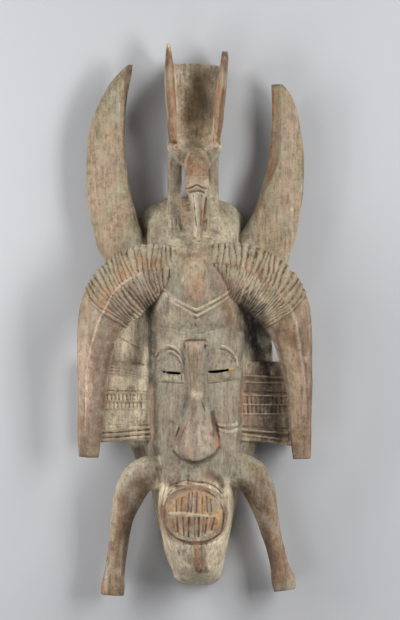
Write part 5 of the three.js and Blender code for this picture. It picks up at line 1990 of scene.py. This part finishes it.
def carved_wood():
    """Old carved wood: its tone with fine grain, tints, dirt and painted shade in the cuts and hollows, and
    pale wear on the edges.
    """
    wood = Finish("carved_wood")
    even = wood.stretched((1, 1, 1))
    grain = wood.stretched((1, 0.1, 1))
    cloud = wood.noise(even, 30, 4, 0.6)
    blot = wood.noise(even, 100, 4, 0.65)
    speckle = wood.noise(even, 420, 4, 0.7)
    streak = wood.noise(grain, 330, 4, 0.7)
    fibre = wood.noise(grain, 1100, 2, 0.6)
    cells = {"Vector": wood.stretched((1, 0.55, 1)), "Scale": 210}
    facets = wood.node("ShaderNodeTexVoronoi", {}, cells, out="Distance")
    grime_and_shade, worn, polish = (wood.layer(name) for name in ("grime_and_shade", "worn", "polish"))
    ribbed, wave, rib, gap = rib_pattern(wood, (blot - 0.5) * 0.9)

    colour = wood.layer("tone", "Color")
    colour = wood.mix(wood.between(cloud, 0.52, 0.66) * 0.5, colour, TONES["green"])
    colour = wood.mix(wood.between(cloud, 0.48, 0.38) * 0.35, colour, TONES["rose"])
    colour = wood.mix(wood.between(blot, 0.55, 0.68) * 0.4, colour, TONES["rose"])
    colour = wood.mix(wood.between(blot, 0.45, 0.33) * 0.35, colour, TONES["brown"])
    shade = 1 + (streak - 0.5) * 1.25 + (speckle - 0.5) * 1.1 + (facets - 0.45) * 0.35
    shade = shade + (cloud - 0.5) * 0.8 + (blot - 0.5) * 0.4
    colour = wood.mix(1.0, colour, shade, "MULTIPLY")
    colour = wood.mix(wood.between(shade, 1, 0.5) * 0.3, colour, TONES["brown"])
    wear = wood.between(worn + (speckle - 0.5) * 1.1 + (blot - 0.5) * 0.9, 0.2, 1.05)
    rubbed = wood.mix(wood.between(polish, 0.15, 0.35), WEAR, RUBBED)
    colour = wood.mix(wear * 0.6, colour, rubbed)
    backs = wood.between(wave + (blot - 0.5) * 1.4 + (speckle - 0.5) * 0.8, 0.55, 1) * ribbed * rib * 0.55
    colour = wood.mix(backs, colour, WEAR)
    # The gaps between the ribs are darkened: dirt and painted shade between the cords
    gaps = wood.between(wave + (speckle - 0.5) * 1.2 + (blot - 0.5) * 1.6, 0.2 + gap * 0.3, 0) * ribbed
    colour = wood.mix(gaps * 0.85, colour, DIRT_AND_SHADE)
    # The cuts and hollows are darkened: dirt and painted shade
    dirt_and_shade = wood.between(grime_and_shade + (speckle - 0.5) * 0.9 + (blot - 0.5) * 0.9, 0.12, 1)
    colour = wood.mix(dirt_and_shade * 0.8, colour, DIRT_AND_SHADE)
    wood.fill(wood.shader.inputs["Base Color"], colour)
    wood.fill(wood.shader.inputs["Roughness"], 0.8 - polish * 0.35 + (speckle - 0.5) * 0.25)
    height = streak * 0.5 + fibre * 0.2 + speckle * 0.5 + blot * 0.5 + facets * 0.5 + wave * ribbed * 0.9
    bump = wood.node("ShaderNodeBump", {}, {"Strength": 0.8, "Distance": 0.0016, "Height": height})
    wood.fill(wood.shader.inputs["Normal"], bump)
    return wood.material


def thinned(mesh):
    holder = object_of(mesh, "thinning")
    thin = holder.modifiers.new("thin", "DECIMATE")
    thin.ratio = MOST_TRIANGLES / (2 * len(mesh.polygons))
    return finished(holder)


# The mask: its forms melted together, hollowed, carved and thinned out. What the full surface shows of cuts
# and edges stays with its points through the thinning.
block = hollowed(block_of_forms())
surface = Surface(block)
carve(surface)
readings = {
    "fine": surface.standing(FINE_ROUND),
    "broad": surface.standing(BROAD_ROUND),
    "marks": surface.marks,
}
for name, values in readings.items():
    keep(block, name, values)
carved = thinned(block)
mask = object_of(carved, "carved_mask")
skin = Surface(carved)
for name in readings:
    setattr(skin, name, kept(carved, name))
skin.weights = part_weights(skin)
tone, polish = paint(skin)
grime_and_shade, worn = weather(skin)
layers = {"grime_and_shade": grime_and_shade, "worn": worn, "polish": polish, **measure_ribs(skin)}
for name, values in layers.items():
    keep(carved, name, values)
colours = carved.attributes.new("tone", "FLOAT_COLOR", "POINT")
colours.data.foreach_set("color", np.column_stack([tone, np.ones(len(tone))]).astype(np.float32).ravel())
skin.at = (skin.at + FACE) * MM
skin.face()
carved.polygons.foreach_set("use_smooth", [True] * len(carved.polygons))
carved.materials.clear()
carved.materials.append(carved_wood())
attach(mask, "root")
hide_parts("mask")

# Floor, light and camera
FLOOR_TONE = (0.47, 0.475, 0.485)
floor_shape = bmesh.new()
bmesh.ops.create_grid(floor_shape, x_segments=1, y_segments=1, size=3)
floor = object_of(mesh_of(floor_shape, "floor"), "floor")
paper = Finish("floor")
paper.fill(paper.shader.inputs["Base Color"], (*FLOOR_TONE, 1))
paper.fill(paper.shader.inputs["Roughness"], 0.9)
floor.data.materials.append(paper.material)

MM_PER_PIXEL = 1.2
PHOTO_HEIGHT = 620
PHOTO_MIDDLE = (4.8, 12.0)
CAMERA_HEIGHT = 6.0
SEEN_AT = 0.06
camera = bpy.data.cameras.new("camera")
camera.sensor_width = 36
camera.lens = camera.sensor_width * (CAMERA_HEIGHT - SEEN_AT) / (PHOTO_HEIGHT * MM_PER_PIXEL * MM)
eye_point = object_of(camera, "camera")
eye_point.location = (
    (FACE[0] + PHOTO_MIDDLE[0]) * MM,
    (FACE[1] + PHOTO_MIDDLE[1]) * MM,
    CAMERA_HEIGHT,
)
camera.clip_end = 20
bpy.context.scene.camera = eye_point


def lamp(name, place, long, high, power):
    """A long soft box, turned to the middle of the mask."""
    light = bpy.data.lights.new(name, "AREA")
    light.shape = "RECTANGLE"
    light.size, light.size_y = long, high
    light.energy = power
    holder = object_of(light, name)
    holder.location = place
    holder.rotation_euler = (-holder.location).to_track_quat("-Z", "Y").to_euler()


# Place, length, height and power of each lamp, in metres and watts
lamp("left_light", (-0.8, 0.1, 0.46), 0.8, 0.2, 5.5)
lamp("high_left_light", (-0.9, 0.8, 0.8), 0.8, 0.3, 4.5)
lamp("low_left_light", (-0.6, -0.9, 1), 0.8, 0.3, 3)
lamp("right_light", (1.13, 0.1, 1.1), 0.9, 0.4, 15)
lamp("high_right_light", (1.3, 0.95, 0.92), 1, 0.5, 15.5)
world = bpy.data.worlds.new("studio")
world.use_nodes = True
world.node_tree.nodes["Background"].inputs["Color"].default_value = (0.9, 0.92, 1, 1)
world.node_tree.nodes["Background"].inputs["Strength"].default_value = 0.15
bpy.context.scene.world = world
bpy.context.scene.view_settings.view_transform = "Standard"
